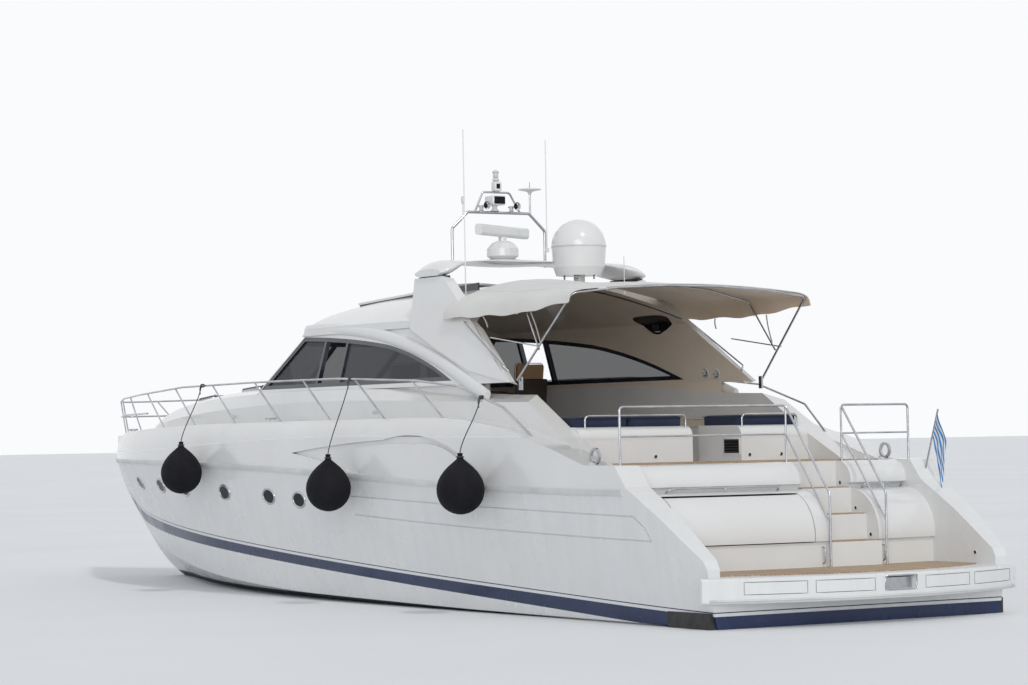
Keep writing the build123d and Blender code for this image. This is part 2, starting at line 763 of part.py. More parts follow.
# Whip antennas
with BuildPart() as antennas:
    add(rod((7000, 1250, 3900), (7010, 1250, 6150), 8))
    add(rod((7000, -1250, 3900), (7000, -1250, 4550), 6))
    add(rod((mast_x, -mast_y - 36, mast_knee_z - 260), (mast_x, -mast_y - 36, 6200), 8))
    with Locations((mast_x, -mast_y - 28, mast_knee_z - 260)):
        Box(50, 56, 60)
    add(mast.part, mode=Mode.SUBTRACT)
    add(roof_form(0, 0), mode=Mode.SUBTRACT)
antennas.part.label = "antennas"
export_step(antennas.part, "parts/antennas.step")

# Bathing platform and its teak
with BuildPart() as platform:
    with BuildSketch(Plane.XY.offset(platform_bottom_z)):
        with BuildLine():
            ThreePointArc((platform_corner_x, platform_y), (0, 0), (platform_corner_x, -platform_y))
            Polyline((platform_corner_x, -platform_y), (hull_aft_x, -platform_y), (hull_aft_x, -pocket_y),
                     (pocket_fwd_x, -pocket_y), (pocket_fwd_x, pocket_y), (hull_aft_x, pocket_y),
                     (hull_aft_x, platform_y), (platform_corner_x, platform_y))
        make_face()
    extrude(amount=platform_z - platform_bottom_z)
    fillet(platform.edges().filter_by(GeomType.CIRCLE), platform_round)
platform_body = platform.part

passerelle_y = -70
passerelle_width = 420
passerelle_height = 120
passerelle_z = 460
passerelle_aft_x = 90
passerelle_length = 2500
slot_gap = 8
with BuildPart() as platform:
    add(platform_body)
    with Locations((passerelle_aft_x - 500 + (passerelle_length + 560) / 2, passerelle_y, passerelle_z)):
        Box(passerelle_length + 560, passerelle_width + 2 * slot_gap, passerelle_height + 2 * slot_gap,
            mode=Mode.SUBTRACT)
platform.part.label = "bathing_platform"
export_step(platform.part, "parts/bathing_platform.step")

with BuildPart() as passerelle:
    with Locations((passerelle_aft_x + passerelle_length / 2, passerelle_y,
                    passerelle_z - slot_gap + 0.15)):
        Box(passerelle_length, passerelle_width, passerelle_height - 0.3)
passerelle.part.label = "passerelle"
export_step(passerelle.part, "parts/passerelle.step")

with BuildPart() as platform_teak:
    with BuildSketch(Plane.XY.offset(platform_z)):
        with BuildLine():
            ThreePointArc((900, platform_teak_y), (platform_teak_aft_x, 0), (900, -platform_teak_y))
            Polyline((900, -platform_teak_y), (1690, -platform_teak_y), (1690, platform_teak_y),
                     (900, platform_teak_y))
        make_face()
    extrude(amount=teak_thickness)
platform_teak_body = platform_teak.part

# Transom: side profile turned about a far upright axis, so that it is bowed in plan
axis_x = transom_x + transom_radius


def transom_band(lines, arcs, port_y, stbd_y):
    """Profile in x and z turned about the far axis, kept between two planes."""
    with BuildPart() as form:
        with BuildSketch(Plane.XZ):
            with BuildLine():
                for run in lines:
                    Polyline(*run)
                for start, mid, end in arcs:
                    ThreePointArc(start, mid, end)
            make_face()
        revolve(axis=Axis((axis_x, 0, 0), (0, 0, 1)), revolution_arc=24)
    turned = form.part.rotate(Axis((axis_x, 0, 0), (0, 0, 1)), -12)
    with BuildPart() as band:
        add(turned)
        with Locations((pocket_fwd_x - 2500, (port_y + stbd_y) / 2, 1000)):
            Box(5000, port_y - stbd_y, 4000, mode=Mode.INTERSECT)
    return band.part


roll_low = (transom_x + 15, 880)
roll_mid = (transom_x + 150, 1300)
roll_top = (transom_x + 460, 1470)
ledge_in = (transom_x + 600, 1475)
ledge_up = (transom_x + 600, 1530)
upper_low = (transom_x + 520, 1540)
upper_mid = (transom_x + 560, 1700)
upper_top = (transom_top_x, deck_z)
door_thickness = 60
door_top_z = 1420
opening_top_z = 1440
pivot_z = 1395
pivot_depth = 28
pivot_radius = 10
pivot_length = 45
pivot_clearance = 0.05
pivot_end_gap = 5
pivot_line_x = 1768


def pivot_x(y):
    """Place of the door's pivot line beside the bowed transom."""
    return pivot_line_x + pivot_depth + transom_radius - sqrt(transom_radius ** 2 - y ** 2)


pivot_stbd = (pivot_x(garage_stbd_y), garage_stbd_y, pivot_z)
pivot_port = (pivot_x(garage_port_y), garage_port_y, pivot_z)
pivot_dir = (Vector(*pivot_port) - Vector(*pivot_stbd)).normalized()


def pivot_pins(radius, reach):
    """Both pivot pins of the door, fast in the sides of the opening."""
    with BuildPart() as form:
        for foot, turn in ((pivot_stbd, 1), (pivot_port, -1)):
            foot = Vector(*foot)
            start = foot - pivot_dir * 20 * turn
            end = foot + pivot_dir * reach * turn
            add(rod(tuple(start), tuple(end), radius))
    return form.part


# Transom with its stairs
with BuildPart() as transom:
    add(transom_band([[(transom_x + 50, platform_z), (transom_x + 50, 865), roll_low],
                      [roll_top, ledge_in, ledge_up, upper_low],
                      [upper_top, (pocket_fwd_x + 400, deck_z), (pocket_fwd_x + 400, platform_z),
                       (transom_x + 50, platform_z)]],
                     [(roll_low, roll_mid, roll_top), (upper_low, upper_mid, upper_top)], pocket_y, -pocket_y))
    with Locations((pocket_fwd_x - 2500, (stair_port_y + stair_stbd_y) / 2, 1300)):
        Box(5000, stair_port_y - stair_stbd_y, 2000, mode=Mode.SUBTRACT)
    with Locations((pocket_fwd_x - 2500, (garage_port_y + garage_stbd_y) / 2,
                    (garage_bottom_z - door_gap + opening_top_z) / 2)):
        Box(5000, garage_port_y - garage_stbd_y, opening_top_z - garage_bottom_z + door_gap,
            mode=Mode.SUBTRACT)
    with BuildSketch(Plane.XZ.offset(-stair_port_y)):
        with BuildLine():
            pts = [(transom_x, platform_z)]
            for i in range(stair_steps):
                top = platform_z + (i + 1) * stair_rise - (teak_thickness if i < stair_steps - 1 else 0)
                pts.append((transom_x + i * stair_depth, top))
                pts.append((transom_x + (i + 1) * stair_depth if i < stair_steps - 1 else pocket_fwd_x, top))
            pts.append((pocket_fwd_x, platform_z))
            Polyline(*pts, close=True)
        make_face()
    extrude(amount=stair_port_y - stair_stbd_y)
    add(pivot_pins(pivot_radius, pivot_length))
transom.part.label = "transom"
export_step(transom.part, "parts/transom.step")

with BuildPart() as garage_door:
    add(transom_band([[roll_top, (roll_top[0], roll_top[1] - door_thickness)],
                      [(roll_low[0] + door_thickness, roll_low[1]), roll_low]],
                     [(roll_low, roll_mid, roll_top),
                      ((roll_low[0] + door_thickness, roll_low[1]),
                       (roll_mid[0] + 45, roll_mid[1] - 40), (roll_top[0], roll_top[1] - door_thickness))],
                     garage_port_y - door_gap, garage_stbd_y + door_gap))
    with Locations((0, 0, door_top_z + 500)):
        Box(9000, 9000, 1000, mode=Mode.SUBTRACT)
    add(pivot_pins(pivot_radius + pivot_clearance, pivot_length + pivot_end_gap), mode=Mode.SUBTRACT)
garage_door.part.label = "garage_door"
export_step(garage_door.part, "parts/garage_door.step")

# Teak on platform, stairs, aft deck and cockpit sole
locker_aft_x = 3720
locker_fwd_x = 4600
locker_top_z = 2250
stair_foot_x = 1455
stair_rail_out = 40
post_hole_radius = 16
with BuildPart() as teak:
    add(platform_teak_body)
    add(transom.part, mode=Mode.SUBTRACT)
    with Locations((stair_foot_x, stair_port_y + stair_rail_out, platform_z),
                   (stair_foot_x, stair_stbd_y - stair_rail_out, platform_z)):
        Cylinder(post_hole_radius, 3 * teak_thickness, mode=Mode.SUBTRACT)
    for i in range(stair_steps - 1):
        with Locations((transom_x + (i + 0.5) * stair_depth, (stair_port_y + stair_stbd_y) / 2,
                        platform_z + (i + 1) * stair_rise - teak_thickness / 2)):
            Box(stair_depth, stair_port_y - stair_stbd_y - 60, teak_thickness)
    with Locations(((2330 + locker_aft_x) / 2, 0, deck_z + teak_thickness / 2)):
        Box(locker_aft_x - 2330, 2 * well_y - 40, teak_thickness)
    with Locations(((locker_fwd_x + well_fwd_x - 600) / 2, 0, sole_z + teak_thickness / 2)):
        Box(well_fwd_x - 600 - locker_fwd_x, 1500, teak_thickness)
teak.part.label = "teak"
export_step(teak.part, "parts/teak.step")

# Lockers across the aft end of the cockpit, with a way through between them
way_port_y = 60
way_stbd_y = -680
settee_x = (5000, 7600)
settee_z = 2230
settee_depth = 600
with BuildPart() as cockpit_lockers:
    for port_y, stbd_y in ((well_y, way_port_y), (way_stbd_y, -well_y)):
        with BuildSketch(Plane.XZ.offset(-port_y)):
            with BuildLine():
                Polyline((locker_aft_x + 120, locker_top_z), (locker_fwd_x, locker_top_z), (locker_fwd_x, sole_z),
                         (locker_aft_x, sole_z), (locker_aft_x, locker_top_z - 160))
                ThreePointArc((locker_aft_x, locker_top_z - 160), (locker_aft_x + 30, locker_top_z - 45),
                              (locker_aft_x + 120, locker_top_z))
            make_face()
        extrude(amount=port_y - stbd_y)
    for s in (1, -1):
        with Locations(((settee_x[0] + settee_x[1]) / 2, s * (well_y - settee_depth / 2), (sole_z + settee_z) / 2)):
            Box(settee_x[1] - settee_x[0], settee_depth, settee_z - sole_z)
cockpit_lockers.part.label = "cockpit_lockers"
export_step(cockpit_lockers.part, "parts/cockpit_lockers.step")

cushion_gap = 0.3
cushion_height = 125
with BuildPart() as cockpit_cushions:
    for port_y, stbd_y in ((well_y - 40, way_port_y + 30), (way_stbd_y - 30, -well_y + 40)):
        with Locations(((locker_aft_x + 130 + locker_fwd_x) / 2, (port_y + stbd_y) / 2,
                        locker_top_z + cushion_gap + cushion_height / 2)):
            Box(locker_fwd_x - locker_aft_x - 130, port_y - stbd_y, cushion_height)
    for s in (1, -1):
        with Locations(((settee_x[0] + settee_x[1]) / 2, s * (well_y - settee_depth / 2 - 30),
                        settee_z + cushion_gap + cushion_height / 2)):
            Box(settee_x[1] - settee_x[0] - 40, settee_depth - 100, cushion_height)
cockpit_cushions.part.label = "cockpit_cushions"
export_step(cockpit_cushions.part, "parts/cockpit_cushions.step")

# Helm console, wheel and seats
wheel_x = 10180
wheel_y = -1000
wheel_z = 2620
wheel_tilt = 25
wheel_radius = 210
console_x = 10350
console_knee_z = 2480
console_top_z = base_z - 40
console_top_x = console_x + (console_top_z - console_knee_z) * tan(radians(wheel_tilt))
with BuildPart() as helm_console:
    with BuildSketch(Plane.XZ.offset(200)):
        with BuildLine():
            Polyline((console_x, sole_z), (console_x, console_knee_z), (console_top_x, console_top_z),
                     (well_fwd_x, base_z), (well_fwd_x, sole_z), close=True)
        make_face()
    extrude(amount=well_y - 200)
helm_console.part.label = "helm_console"
export_step(helm_console.part, "parts/helm_console.step")

wheel_axis = Vector(cos(radians(wheel_tilt)), 0, -sin(radians(wheel_tilt)))
wheel_plane = Plane(origin=(wheel_x, wheel_y, wheel_z), x_dir=(0, 1, 0), z_dir=wheel_axis)
with BuildPart() as steering_wheel:
    with BuildSketch(wheel_plane * Plane.XZ):
        with Locations((wheel_radius, 0)):
            Circle(15)
    revolve(axis=Axis((wheel_x, wheel_y, wheel_z), wheel_axis))
    with BuildSketch(wheel_plane.offset(-15)):
        Circle(55)
    extrude(amount=60)
    for i in range(3):
        turn = radians(90 + 120 * i)
        tip = wheel_plane.from_local_coords((wheel_radius * cos(turn), wheel_radius * sin(turn), 0))
        add(rod((wheel_x, wheel_y, wheel_z), (tip.X, tip.Y, tip.Z), 11))
    with BuildSketch(wheel_plane):
        Circle(20)
    extrude(amount=260)
    add(helm_console.part, mode=Mode.SUBTRACT)
steering_wheel.part.label = "steering_wheel"
export_step(steering_wheel.part, "parts/steering_wheel.step")

helm_seats_at = [(9250, -1000), (9250, 1000), (8300, 1000)]
with BuildPart() as seat_pedestals:
    for x, y in helm_seats_at:
        with Locations((x, y, sole_z + 320)):
            Cylinder(90, 640)
        with Locations((x, y, sole_z + 20)):
            Cylinder(180, 40)
seat_pedestals.part.label = "seat_pedestals"
export_step(seat_pedestals.part, "parts/seat_pedestals.step")

with BuildPart() as helm_seats:
    for x, y in helm_seats_at:
        with BuildSketch(Plane.XZ.offset(-y - 270)):
            with BuildLine():
                Polyline((x - 230, sole_z + 640.3), (x + 260, sole_z + 640.3), (x + 280, sole_z + 780),
                         (x - 140, sole_z + 790), (x - 210, sole_z + 1430), (x - 310, sole_z + 1430),
                         (x - 290, sole_z + 760), close=True)
            make_face()
        extrude(amount=540)
helm_seats.part.label = "helm_seats"
export_step(helm_seats.part, "parts/helm_seats.step")

# Companionway door that slides to port across the forward bulkhead
door_y = (80, 760)
door_z = (sole_z + 60, 2800)
with BuildPart() as companionway_door:
    with Locations((well_fwd_x - 20 - 5, (door_y[0] + door_y[1]) / 2, (door_z[0] + door_z[1]) / 2)):
        Box(30, door_y[1] - door_y[0], door_z[1] - door_z[0])
companionway_door.part.label = "companionway_door"
export_step(companionway_door.part, "parts/companionway_door.step")

with BuildPart() as door_track:
    for z in (door_z[0] - 15.3, door_z[1] + 15.3):
        with Locations((well_fwd_x - 25, 870, z)):
            Box(50, 1640, 30)
door_track.part.label = "door_track"
export_step(door_track.part, "parts/door_track.step")

# Canopy sections, forward to aft: x, half width, low edge z, shoulder y, shoulder z, crown z
canopy_sections = [
    (6985, 1790, 3660, 1745, 3870, 4225),
    (5800, 1810, 3650, 1770, 3880, 4150),
    (4900, 1820, 3640, 1785, 3890, 4075),
    (3735, 1830, 3740, 1800, 3890, 3990),
]
canopy_thickness = 10
canopy_gap = 0.5
canopy_leg_y = 1738
canopy_corner_x = 6700


def canopy_at(x):
    """Canopy section between two listed ones."""
    for front, back in zip(canopy_sections, canopy_sections[1:]):
        if back[0] <= x <= front[0]:
            share = (x - back[0]) / (front[0] - back[0])
            return [b + (f - b) * share for f, b in zip(front, back)]


def canopy_form(inset, extend):
    """Arched body under the canopy's outer face, drawn in by an inset."""
    with BuildPart() as form:
        for n, (x, half, low_z, shoulder_y, shoulder_z, crown_z) in enumerate(canopy_sections):
            if n == 0:
                x += extend
            if n == len(canopy_sections) - 1:
                x -= extend
            with BuildSketch(Plane.YZ.offset(x)):
                with BuildLine():
                    Polyline((shoulder_y - inset, shoulder_z - inset), (half - inset, low_z - extend),
                             (inset - half, low_z - extend), (inset - shoulder_y, shoulder_z - inset))
                    ThreePointArc((shoulder_y - inset, shoulder_z - inset), (0, crown_z - inset),
                                  (inset - shoulder_y, shoulder_z - inset))
                make_face()
        loft(ruled=True)
    return form.part


with BuildPart() as canopy:
    add(canopy_form(0, 0))
    add(canopy_form(canopy_thickness, 40), mode=Mode.SUBTRACT)
    with BuildSketch(Plane.XZ.offset(-canopy_leg_y)):
        with BuildLine():
            slope = (leg_head_x - leg_foot_x) / (leg_head_z - leg_foot_z)
            Polyline((leg_foot_x - canopy_gap, leg_foot_z),
                     (leg_foot_x - canopy_gap + slope * 3000, leg_foot_z + 3000),
                     (12000, leg_foot_z + 3000), (12000, leg_foot_z), close=True)
        make_face()
    extrude(amount=2 * canopy_leg_y, mode=Mode.SUBTRACT)
    with Locations((canopy_corner_x + 500, 0, canopy_sections[0][4] - 480)):
        Box(1000, 2 * beam, 1000, mode=Mode.SUBTRACT)
canopy.part.label = "canopy"
export_step(canopy.part, "parts/canopy.step")

# Bimini: main bow, second bow and stays
bow_hinge = (4810, 1870, 2860)
bow_radius = 14
second_radius = 11
stay_radius = 9
bow_gap = 0.3
pivot_gap = 1.2
pivot_boss = 6
hinge_pin = 6
hinge_clearance = 0.1
foot_length = 32
bow_x = canopy_sections[-1][0] + 25


def bow_crown(x, radius, side_drop):
    """Points under the canopy's arch, from the port shoulder to the starboard one."""
    shoulder_y, shoulder_z, crown_z = canopy_at(x)[3:]
    drop = canopy_thickness + radius + bow_gap
    arch = []
    for y in (1100, 400):
        arch.append((x, y, shoulder_z + (crown_z - shoulder_z) * (1 - (y / shoulder_y) ** 2) - drop))
    shoulder = (x, shoulder_y - drop - side_drop, shoulder_z - drop - side_drop)
    port = [shoulder, *arch]
    return [*port, *[(px, -py, pz) for px, py, pz in reversed(port)]]


bow_top = bow_crown(bow_x, bow_radius, 12)
bow_lean = (Vector(*bow_hinge) - Vector(*bow_top[0])).normalized()
bow_foot = Vector(*bow_hinge) + bow_lean * foot_length
with BuildPart() as bimini_bow:
    add(tube([tuple(bow_foot), *bow_top, (bow_foot.X, -bow_foot.Y, bow_foot.Z)], 80, bow_radius))
    for s in (1, -1):
        add(rod((bow_hinge[0], s * 1800, bow_hinge[2]), (bow_hinge[0], s * 1930, bow_hinge[2]),
                hinge_pin + hinge_clearance), mode=Mode.SUBTRACT)
bimini_bow.part.label = "bimini_bow"
export_step(bimini_bow.part, "parts/bimini_bow.step")


def on_bow(z):
    """Point on the port leg of the main bow."""
    return Vector(*bow_hinge) - bow_lean * ((z - bow_hinge[2]) / -bow_lean.Z)


second_x = canopy_sections[-2][0]
second_pivot = on_bow(3203)
second_y = second_pivot.Y - bow_radius - second_radius - 8
with BuildPart() as bimini_second_bow:
    add(tube([(second_pivot.X, second_y, second_pivot.Z), *bow_crown(second_x, second_radius, 30),
              (second_pivot.X, -second_y, second_pivot.Z)], 80, second_radius))
    for s in (1, -1):
        add(rod((second_pivot.X, s * second_y, second_pivot.Z),
                (second_pivot.X, s * (second_pivot.Y - bow_radius - pivot_gap), second_pivot.Z), pivot_boss))
bimini_second_bow.part.label = "bimini_second_bow"
export_step(bimini_second_bow.part, "parts/bimini_second_bow.step")

stay_pivot = on_bow(3245)
stay_y = stay_pivot.Y + bow_radius + stay_radius + 8
stay_front = (5450, 3385)
with BuildPart() as bimini_stays:
    for s in (1, -1):
        add(rod((stay_pivot.X, s * stay_y, stay_pivot.Z), (stay_front[0], s * stay_y, stay_front[1]), stay_radius))
        add(rod((stay_pivot.X, s * (stay_pivot.Y + bow_radius + pivot_gap), stay_pivot.Z),
                (stay_pivot.X, s * stay_y, stay_pivot.Z), pivot_boss))
bimini_stays.part.label = "bimini_stays"
export_step(bimini_stays.part, "parts/bimini_stays.step")

# Hand rails on the arch legs, hoops on the aft lockers and the feet of the main bow
with BuildPart() as cockpit_rails:
    for s in (1, -1):
        add(tube([(6200, s * 1700, 3560), (6250, s * 1780, 3640), (5200, s * 1850, 3030), (5150, s * 1790, 2960)],
                 30, 11))
        with Locations((bow_hinge[0], s * 1836, 2800)):
            Box(60, 24, 160)
        add(rod((bow_hinge[0], s * 1840, bow_hinge[2]), (bow_hinge[0], s * 1890, bow_hinge[2]), hinge_pin))
    for port_y, stbd_y in ((1600, 120), (-740, -1600)):
        add(tube([(locker_aft_x + 60, port_y, locker_top_z - 60), (locker_aft_x + 60, port_y, locker_top_z + 135),
                  (locker_aft_x + 60, stbd_y, locker_top_z + 135), (locker_aft_x + 60, stbd_y, locker_top_z - 60)],
                 60, 12))
    add(hardtop.part, mode=Mode.SUBTRACT)
    add(deck.part, mode=Mode.SUBTRACT)
    add(coachroof.part, mode=Mode.SUBTRACT)
    add(cockpit_lockers.part, mode=Mode.SUBTRACT)
cockpit_rails.part.label = "cockpit_rails"
export_step(cockpit_rails.part, "parts/cockpit_rails.step")

# Propellers and shafts, brackets and rudders
prop_radius = 375
hub_radius = 75
blade_half = 165
for side, s in (("port", 1), ("stbd", -1)):
    shaft_plane = Plane(origin=(shaft_x, s * shaft_y, shaft_z), x_dir=(0, 1, 0),
                        z_dir=(cos(radians(shaft_angle)), 0, sin(radians(shaft_angle))))
    with BuildPart() as propeller:
        with BuildSketch(shaft_plane.offset(-90)):
            Circle(hub_radius)
        extrude(amount=200, taper=-3)
        for i in range(4):
            turn = radians(90 * i + 20)
            out = shaft_plane.x_dir * cos(turn) + shaft_plane.y_dir * sin(turn)
            across = shaft_plane.z_dir.cross(out)
            pitch = radians(35 * s)
            face_dir = shaft_plane.z_dir * cos(pitch) + across * sin(pitch)
            blade_plane = Plane(origin=shaft_plane.origin, x_dir=out, z_dir=face_dir)
            with BuildSketch(blade_plane.offset(-7)):
                with Locations((prop_radius - blade_half, 0)):
                    Ellipse(blade_half, 118)
            extrude(amount=14)
        with BuildSketch(shaft_plane):
            Circle(shaft_radius)
        extrude(amount=shaft_length)
    propeller.part.label = "propeller_" + side
    export_step(propeller.part, "parts/propeller_" + side + ".step")

    with BuildPart() as rudder:
        with BuildSketch(Plane.XY.offset(rudder_foot_z)):
            with Locations((rudder_x - 60, s * shaft_y)):
                Ellipse(200, 22)
        with BuildSketch(Plane.XY.offset(rudder_top_z)):
            with Locations((rudder_x - 60, s * shaft_y)):
                Ellipse(250, 34)
        loft()
        with BuildSketch(Plane.XY.offset(rudder_top_z - 20)):
            with Locations((rudder_x, s * shaft_y)):
                Circle(post_radius)
        extrude(amount=post_top_z + 20 - rudder_top_z)
    rudder.part.label = "rudder_" + side
    export_step(rudder.part, "parts/rudder_" + side + ".step")


# Shaft brackets: bearing barrel on two struts
barrel_x = 420
barrel_radius = 62
with BuildPart() as shaft_brackets:
    for s in (1, -1):
        shaft_plane = Plane(origin=(shaft_x, s * shaft_y, shaft_z), x_dir=(0, 1, 0),
                            z_dir=(cos(radians(shaft_angle)), 0, sin(radians(shaft_angle))))
        low = shaft_plane.offset(barrel_x + 110).origin
        for lean in (-200, 200):
            add(rod((low.X, low.Y, low.Z), (low.X + 60, low.Y + lean, -150), 24))
        with BuildSketch(shaft_plane.offset(barrel_x)):
            Circle(barrel_radius)
        extrude(amount=220)
        with BuildSketch(shaft_plane.offset(barrel_x - 10)):
            Circle(shaft_radius + bearing_clearance)
        extrude(amount=240, mode=Mode.SUBTRACT)
    add(hull.part, mode=Mode.SUBTRACT)
shaft_brackets.part.label = "shaft_brackets"
export_step(shaft_brackets.part, "parts/shaft_brackets.step")

# Exhaust outlets at the stern corners
with BuildPart() as exhaust_outlets:
    for s in (1, -1):
        with Locations((1020, s * 1985, -10)):
            Box(780, 290, 380)
    add(hull.part, mode=Mode.SUBTRACT)
    add(platform.part, mode=Mode.SUBTRACT)
exhaust_outlets.part.label = "exhaust_outlets"
export_step(exhaust_outlets.part, "parts/exhaust_outlets.step")

# Rubbing strake round the joint
strake_half = 32
strake_proud = 26
strake_aft_x = 1950
with BuildPart() as strake:
    add(hull_form(strake_proud))
    with BuildSketch(Plane.XZ.offset(-beam)):
        with BuildLine():
            joint_edge(-strake_half)
            joint_edge(strake_half)
            for x in (-1000, length + 1000):
                Line((x, joint_z(x) - strake_half), (x, joint_z(x) + strake_half))
        make_face()
    extrude(amount=2 * beam, mode=Mode.INTERSECT)
    add(envelope, mode=Mode.SUBTRACT)
    with Locations((strake_aft_x - 2000, 0, 1500)):
        Box(4000, 2 * beam, 2000, mode=Mode.SUBTRACT)
strake.part.label = "strake"
export_step(strake.part, "parts/strake.step")

# Bow rail: x, z of the top rail along each side
rail_line = [(3860, 2060), (4500, 2510), (5500, 2790), (6500, 2880), (8500, 2955), (0.543 * length, 2965),
             (0.661 * length, 2955), (0.765 * length, 2890), (0.8535 * length, 2860), (0.9225 * length, 2850),
             (0.967 * length, 2845)]
low_rail_z = 2600
rail_front_x = length - 370
rail_front_y = 90
rail_radius = 14
rail_out = 30
post_lean = 720
post_pitch = 0.0705 * length
post_x = [5870 + post_pitch * i for i in range(10)]


def rail_y(x):
    return between(x, 6) + rail_out


def rail_z(x):
    for low, high in zip(rail_line, rail_line[1:]):
        if low[0] <= x <= high[0]:
            return low[1] + (high[1] - low[1]) * (x - low[0]) / (high[0] - low[0])
    return rail_line[-1][1]


port_rail = [(x, rail_y(x), z) for x, z in rail_line[1:]]
port_rail.insert(0, (rail_line[0][0], between(rail_line[0][0], 6) - 60, rail_line[0][1]))
low_rail = []
for share in (0.75, 0.8535, 0.9225, 0.967):
    low_rail.append((share * length, rail_y(share * length) - 12, low_rail_z))
with BuildPart() as bow_rail:
    for line in (port_rail, low_rail):
        add(tube([*line, (rail_front_x, rail_front_y, line[-1][2]), (rail_front_x, -rail_front_y, line[-1][2]),
                  *[(x, -y, z) for x, y, z in reversed(line)]], 90, rail_radius))
    for x in post_x:
        top = x + post_lean
        if top < length - 570:
            for s in (1, -1):
                add(rod((x, s * (between(x, 6) - 60), between(x, 7) - 90), (top, s * rail_y(top), rail_z(top)), 12))
    add(deck.part, mode=Mode.SUBTRACT)
bow_rail.part.label = "bow_rail"
export_step(bow_rail.part, "parts/bow_rail.step")

# Rails round the aft deck and down both sides of the stairs, with the ensign staff
stern_rail_x = 2260
stern_rail_z = 2470
mid_rail_z = 2130
stair_rail_z = 1430
staff_foot = (2050, -2170, 1560)
staff_head = (1790, -2200, 2400)
staff_radius = 11
with BuildPart() as stern_rails:
    for outer_y, inner_y in ((2150, stair_port_y + stair_rail_out), (-2120, stair_stbd_y - stair_rail_out)):
        add(tube([(stern_rail_x, outer_y, deck_z - 60), (stern_rail_x, outer_y, stern_rail_z),
                  (stern_rail_x, inner_y, stern_rail_z), (stair_foot_x, inner_y, stair_rail_z),
                  (stair_foot_x, inner_y, platform_z - 10)], 50, rail_radius))
        add(rod((stern_rail_x, outer_y, mid_rail_z), (stern_rail_x, inner_y, mid_rail_z), 11))
        add(rod((stern_rail_x, inner_y, deck_z - 60), (stern_rail_x, inner_y, stern_rail_z - 30), 12))
        add(rod((stern_rail_x, inner_y, mid_rail_z), (stair_foot_x, inner_y, stair_rail_z - 330), 11))
    add(rod(staff_foot, staff_head, staff_radius))
    add(deck.part, mode=Mode.SUBTRACT)
    add(hull.part, mode=Mode.SUBTRACT)
    add(transom.part, mode=Mode.SUBTRACT)
    add(teak.part, mode=Mode.SUBTRACT)
    add(platform.part, mode=Mode.SUBTRACT)
stern_rails.part.label = "stern_rails"
export_step(stern_rails.part, "parts/stern_rails.step")

# Foredeck hatches: x of middle, size, height of the roof there, fall of the roof in degrees
hatches = [("aft", 0.735 * length, 600, 2922, 3.6), ("fwd", 0.814 * length, 520, 2806, 5.0)]
hatch_gap = 0.3
with BuildPart() as hatch_frames:
    for name, x, size, z, fall in hatches:
        with BuildSketch(Plane(origin=(x, 0, z - 120), x_dir=(cos(radians(fall)), 0, -sin(radians(fall))),
                               z_dir=(sin(radians(fall)), 0, cos(radians(fall))))):
            RectangleRounded(size, size, 60)
        extrude(amount=150)
    add(deck.part, mode=Mode.SUBTRACT)
    add(coachroof.part, mode=Mode.SUBTRACT)
hatch_frames.part.label = "hatch_frames"
export_step(hatch_frames.part, "parts/hatch_frames.step")

for name, x, size, z, fall in hatches:
    with BuildPart() as hatch:
        with BuildSketch(Plane(origin=(x, 0, z - 120), x_dir=(cos(radians(fall)), 0, -sin(radians(fall))),
                               z_dir=(sin(radians(fall)), 0, cos(radians(fall)))).offset(150 + hatch_gap)):
            RectangleRounded(size - 20, size - 20, 55)
        extrude(amount=28)
    hatch.part.label = "hatch_" + name
    export_step(hatch.part, "parts/hatch_" + name + ".step")

with BuildPart() as locker_lid:
    with Locations((length - 1190, 0, 2297 + 14)):
        Box(480, 400, 28)
locker_lid.part.label = "anchor_locker_lid"
export_step(locker_lid.part, "parts/anchor_locker_lid.step")

# Fenders that hang from the port rail: x, height of middle
fenders_at = [(12390, 1715), (7930, 1520), (4740, 1520)]
fender_radius = 290
fender_clearance = 30
fender_line_run = 210
fender_out = fender_radius + strake_proud + fender_clearance
with BuildPart() as fenders:
    for x, z in fenders_at:
        y = between(x, 4) + fender_out
        with BuildSketch(Plane(origin=(x, y, 0), x_dir=(1, 0, 0), z_dir=(0, -1, 0))):
            with BuildLine():
                ThreePointArc((0, z - fender_radius), (fender_radius * cos(radians(20)), z - fender_radius * sin(radians(20))),
                              (fender_radius * cos(radians(35)), z + fender_radius * sin(radians(35))))
                Polyline((fender_radius * cos(radians(35)), z + fender_radius * sin(radians(35))),
                         (70, z + 1.30 * fender_radius), (35, z + 1.38 * fender_radius), (35, z + 1.55 * fender_radius),
                         (0, z + 1.55 * fender_radius), (0, z - fender_radius))
            make_face()
        revolve(axis=Axis((x, y, 0), (0, 0, 1)))
fenders.part.label = "fenders"
export_step(fenders.part, "parts/fenders.step")

with BuildPart() as fender_lines:
    for x, z in fenders_at:
        y = between(x, 4) + fender_out
        add(rod((x, y, z + 1.55 * fender_radius - 20), (x + fender_line_run, rail_y(x + fender_line_run),
             rail_z(x + fender_line_run)), 6))
    add(fenders.part, mode=Mode.SUBTRACT)
    add(bow_rail.part, mode=Mode.SUBTRACT)
fender_lines.part.label = "fender_lines"
export_step(fender_lines.part, "parts/fender_lines.step")

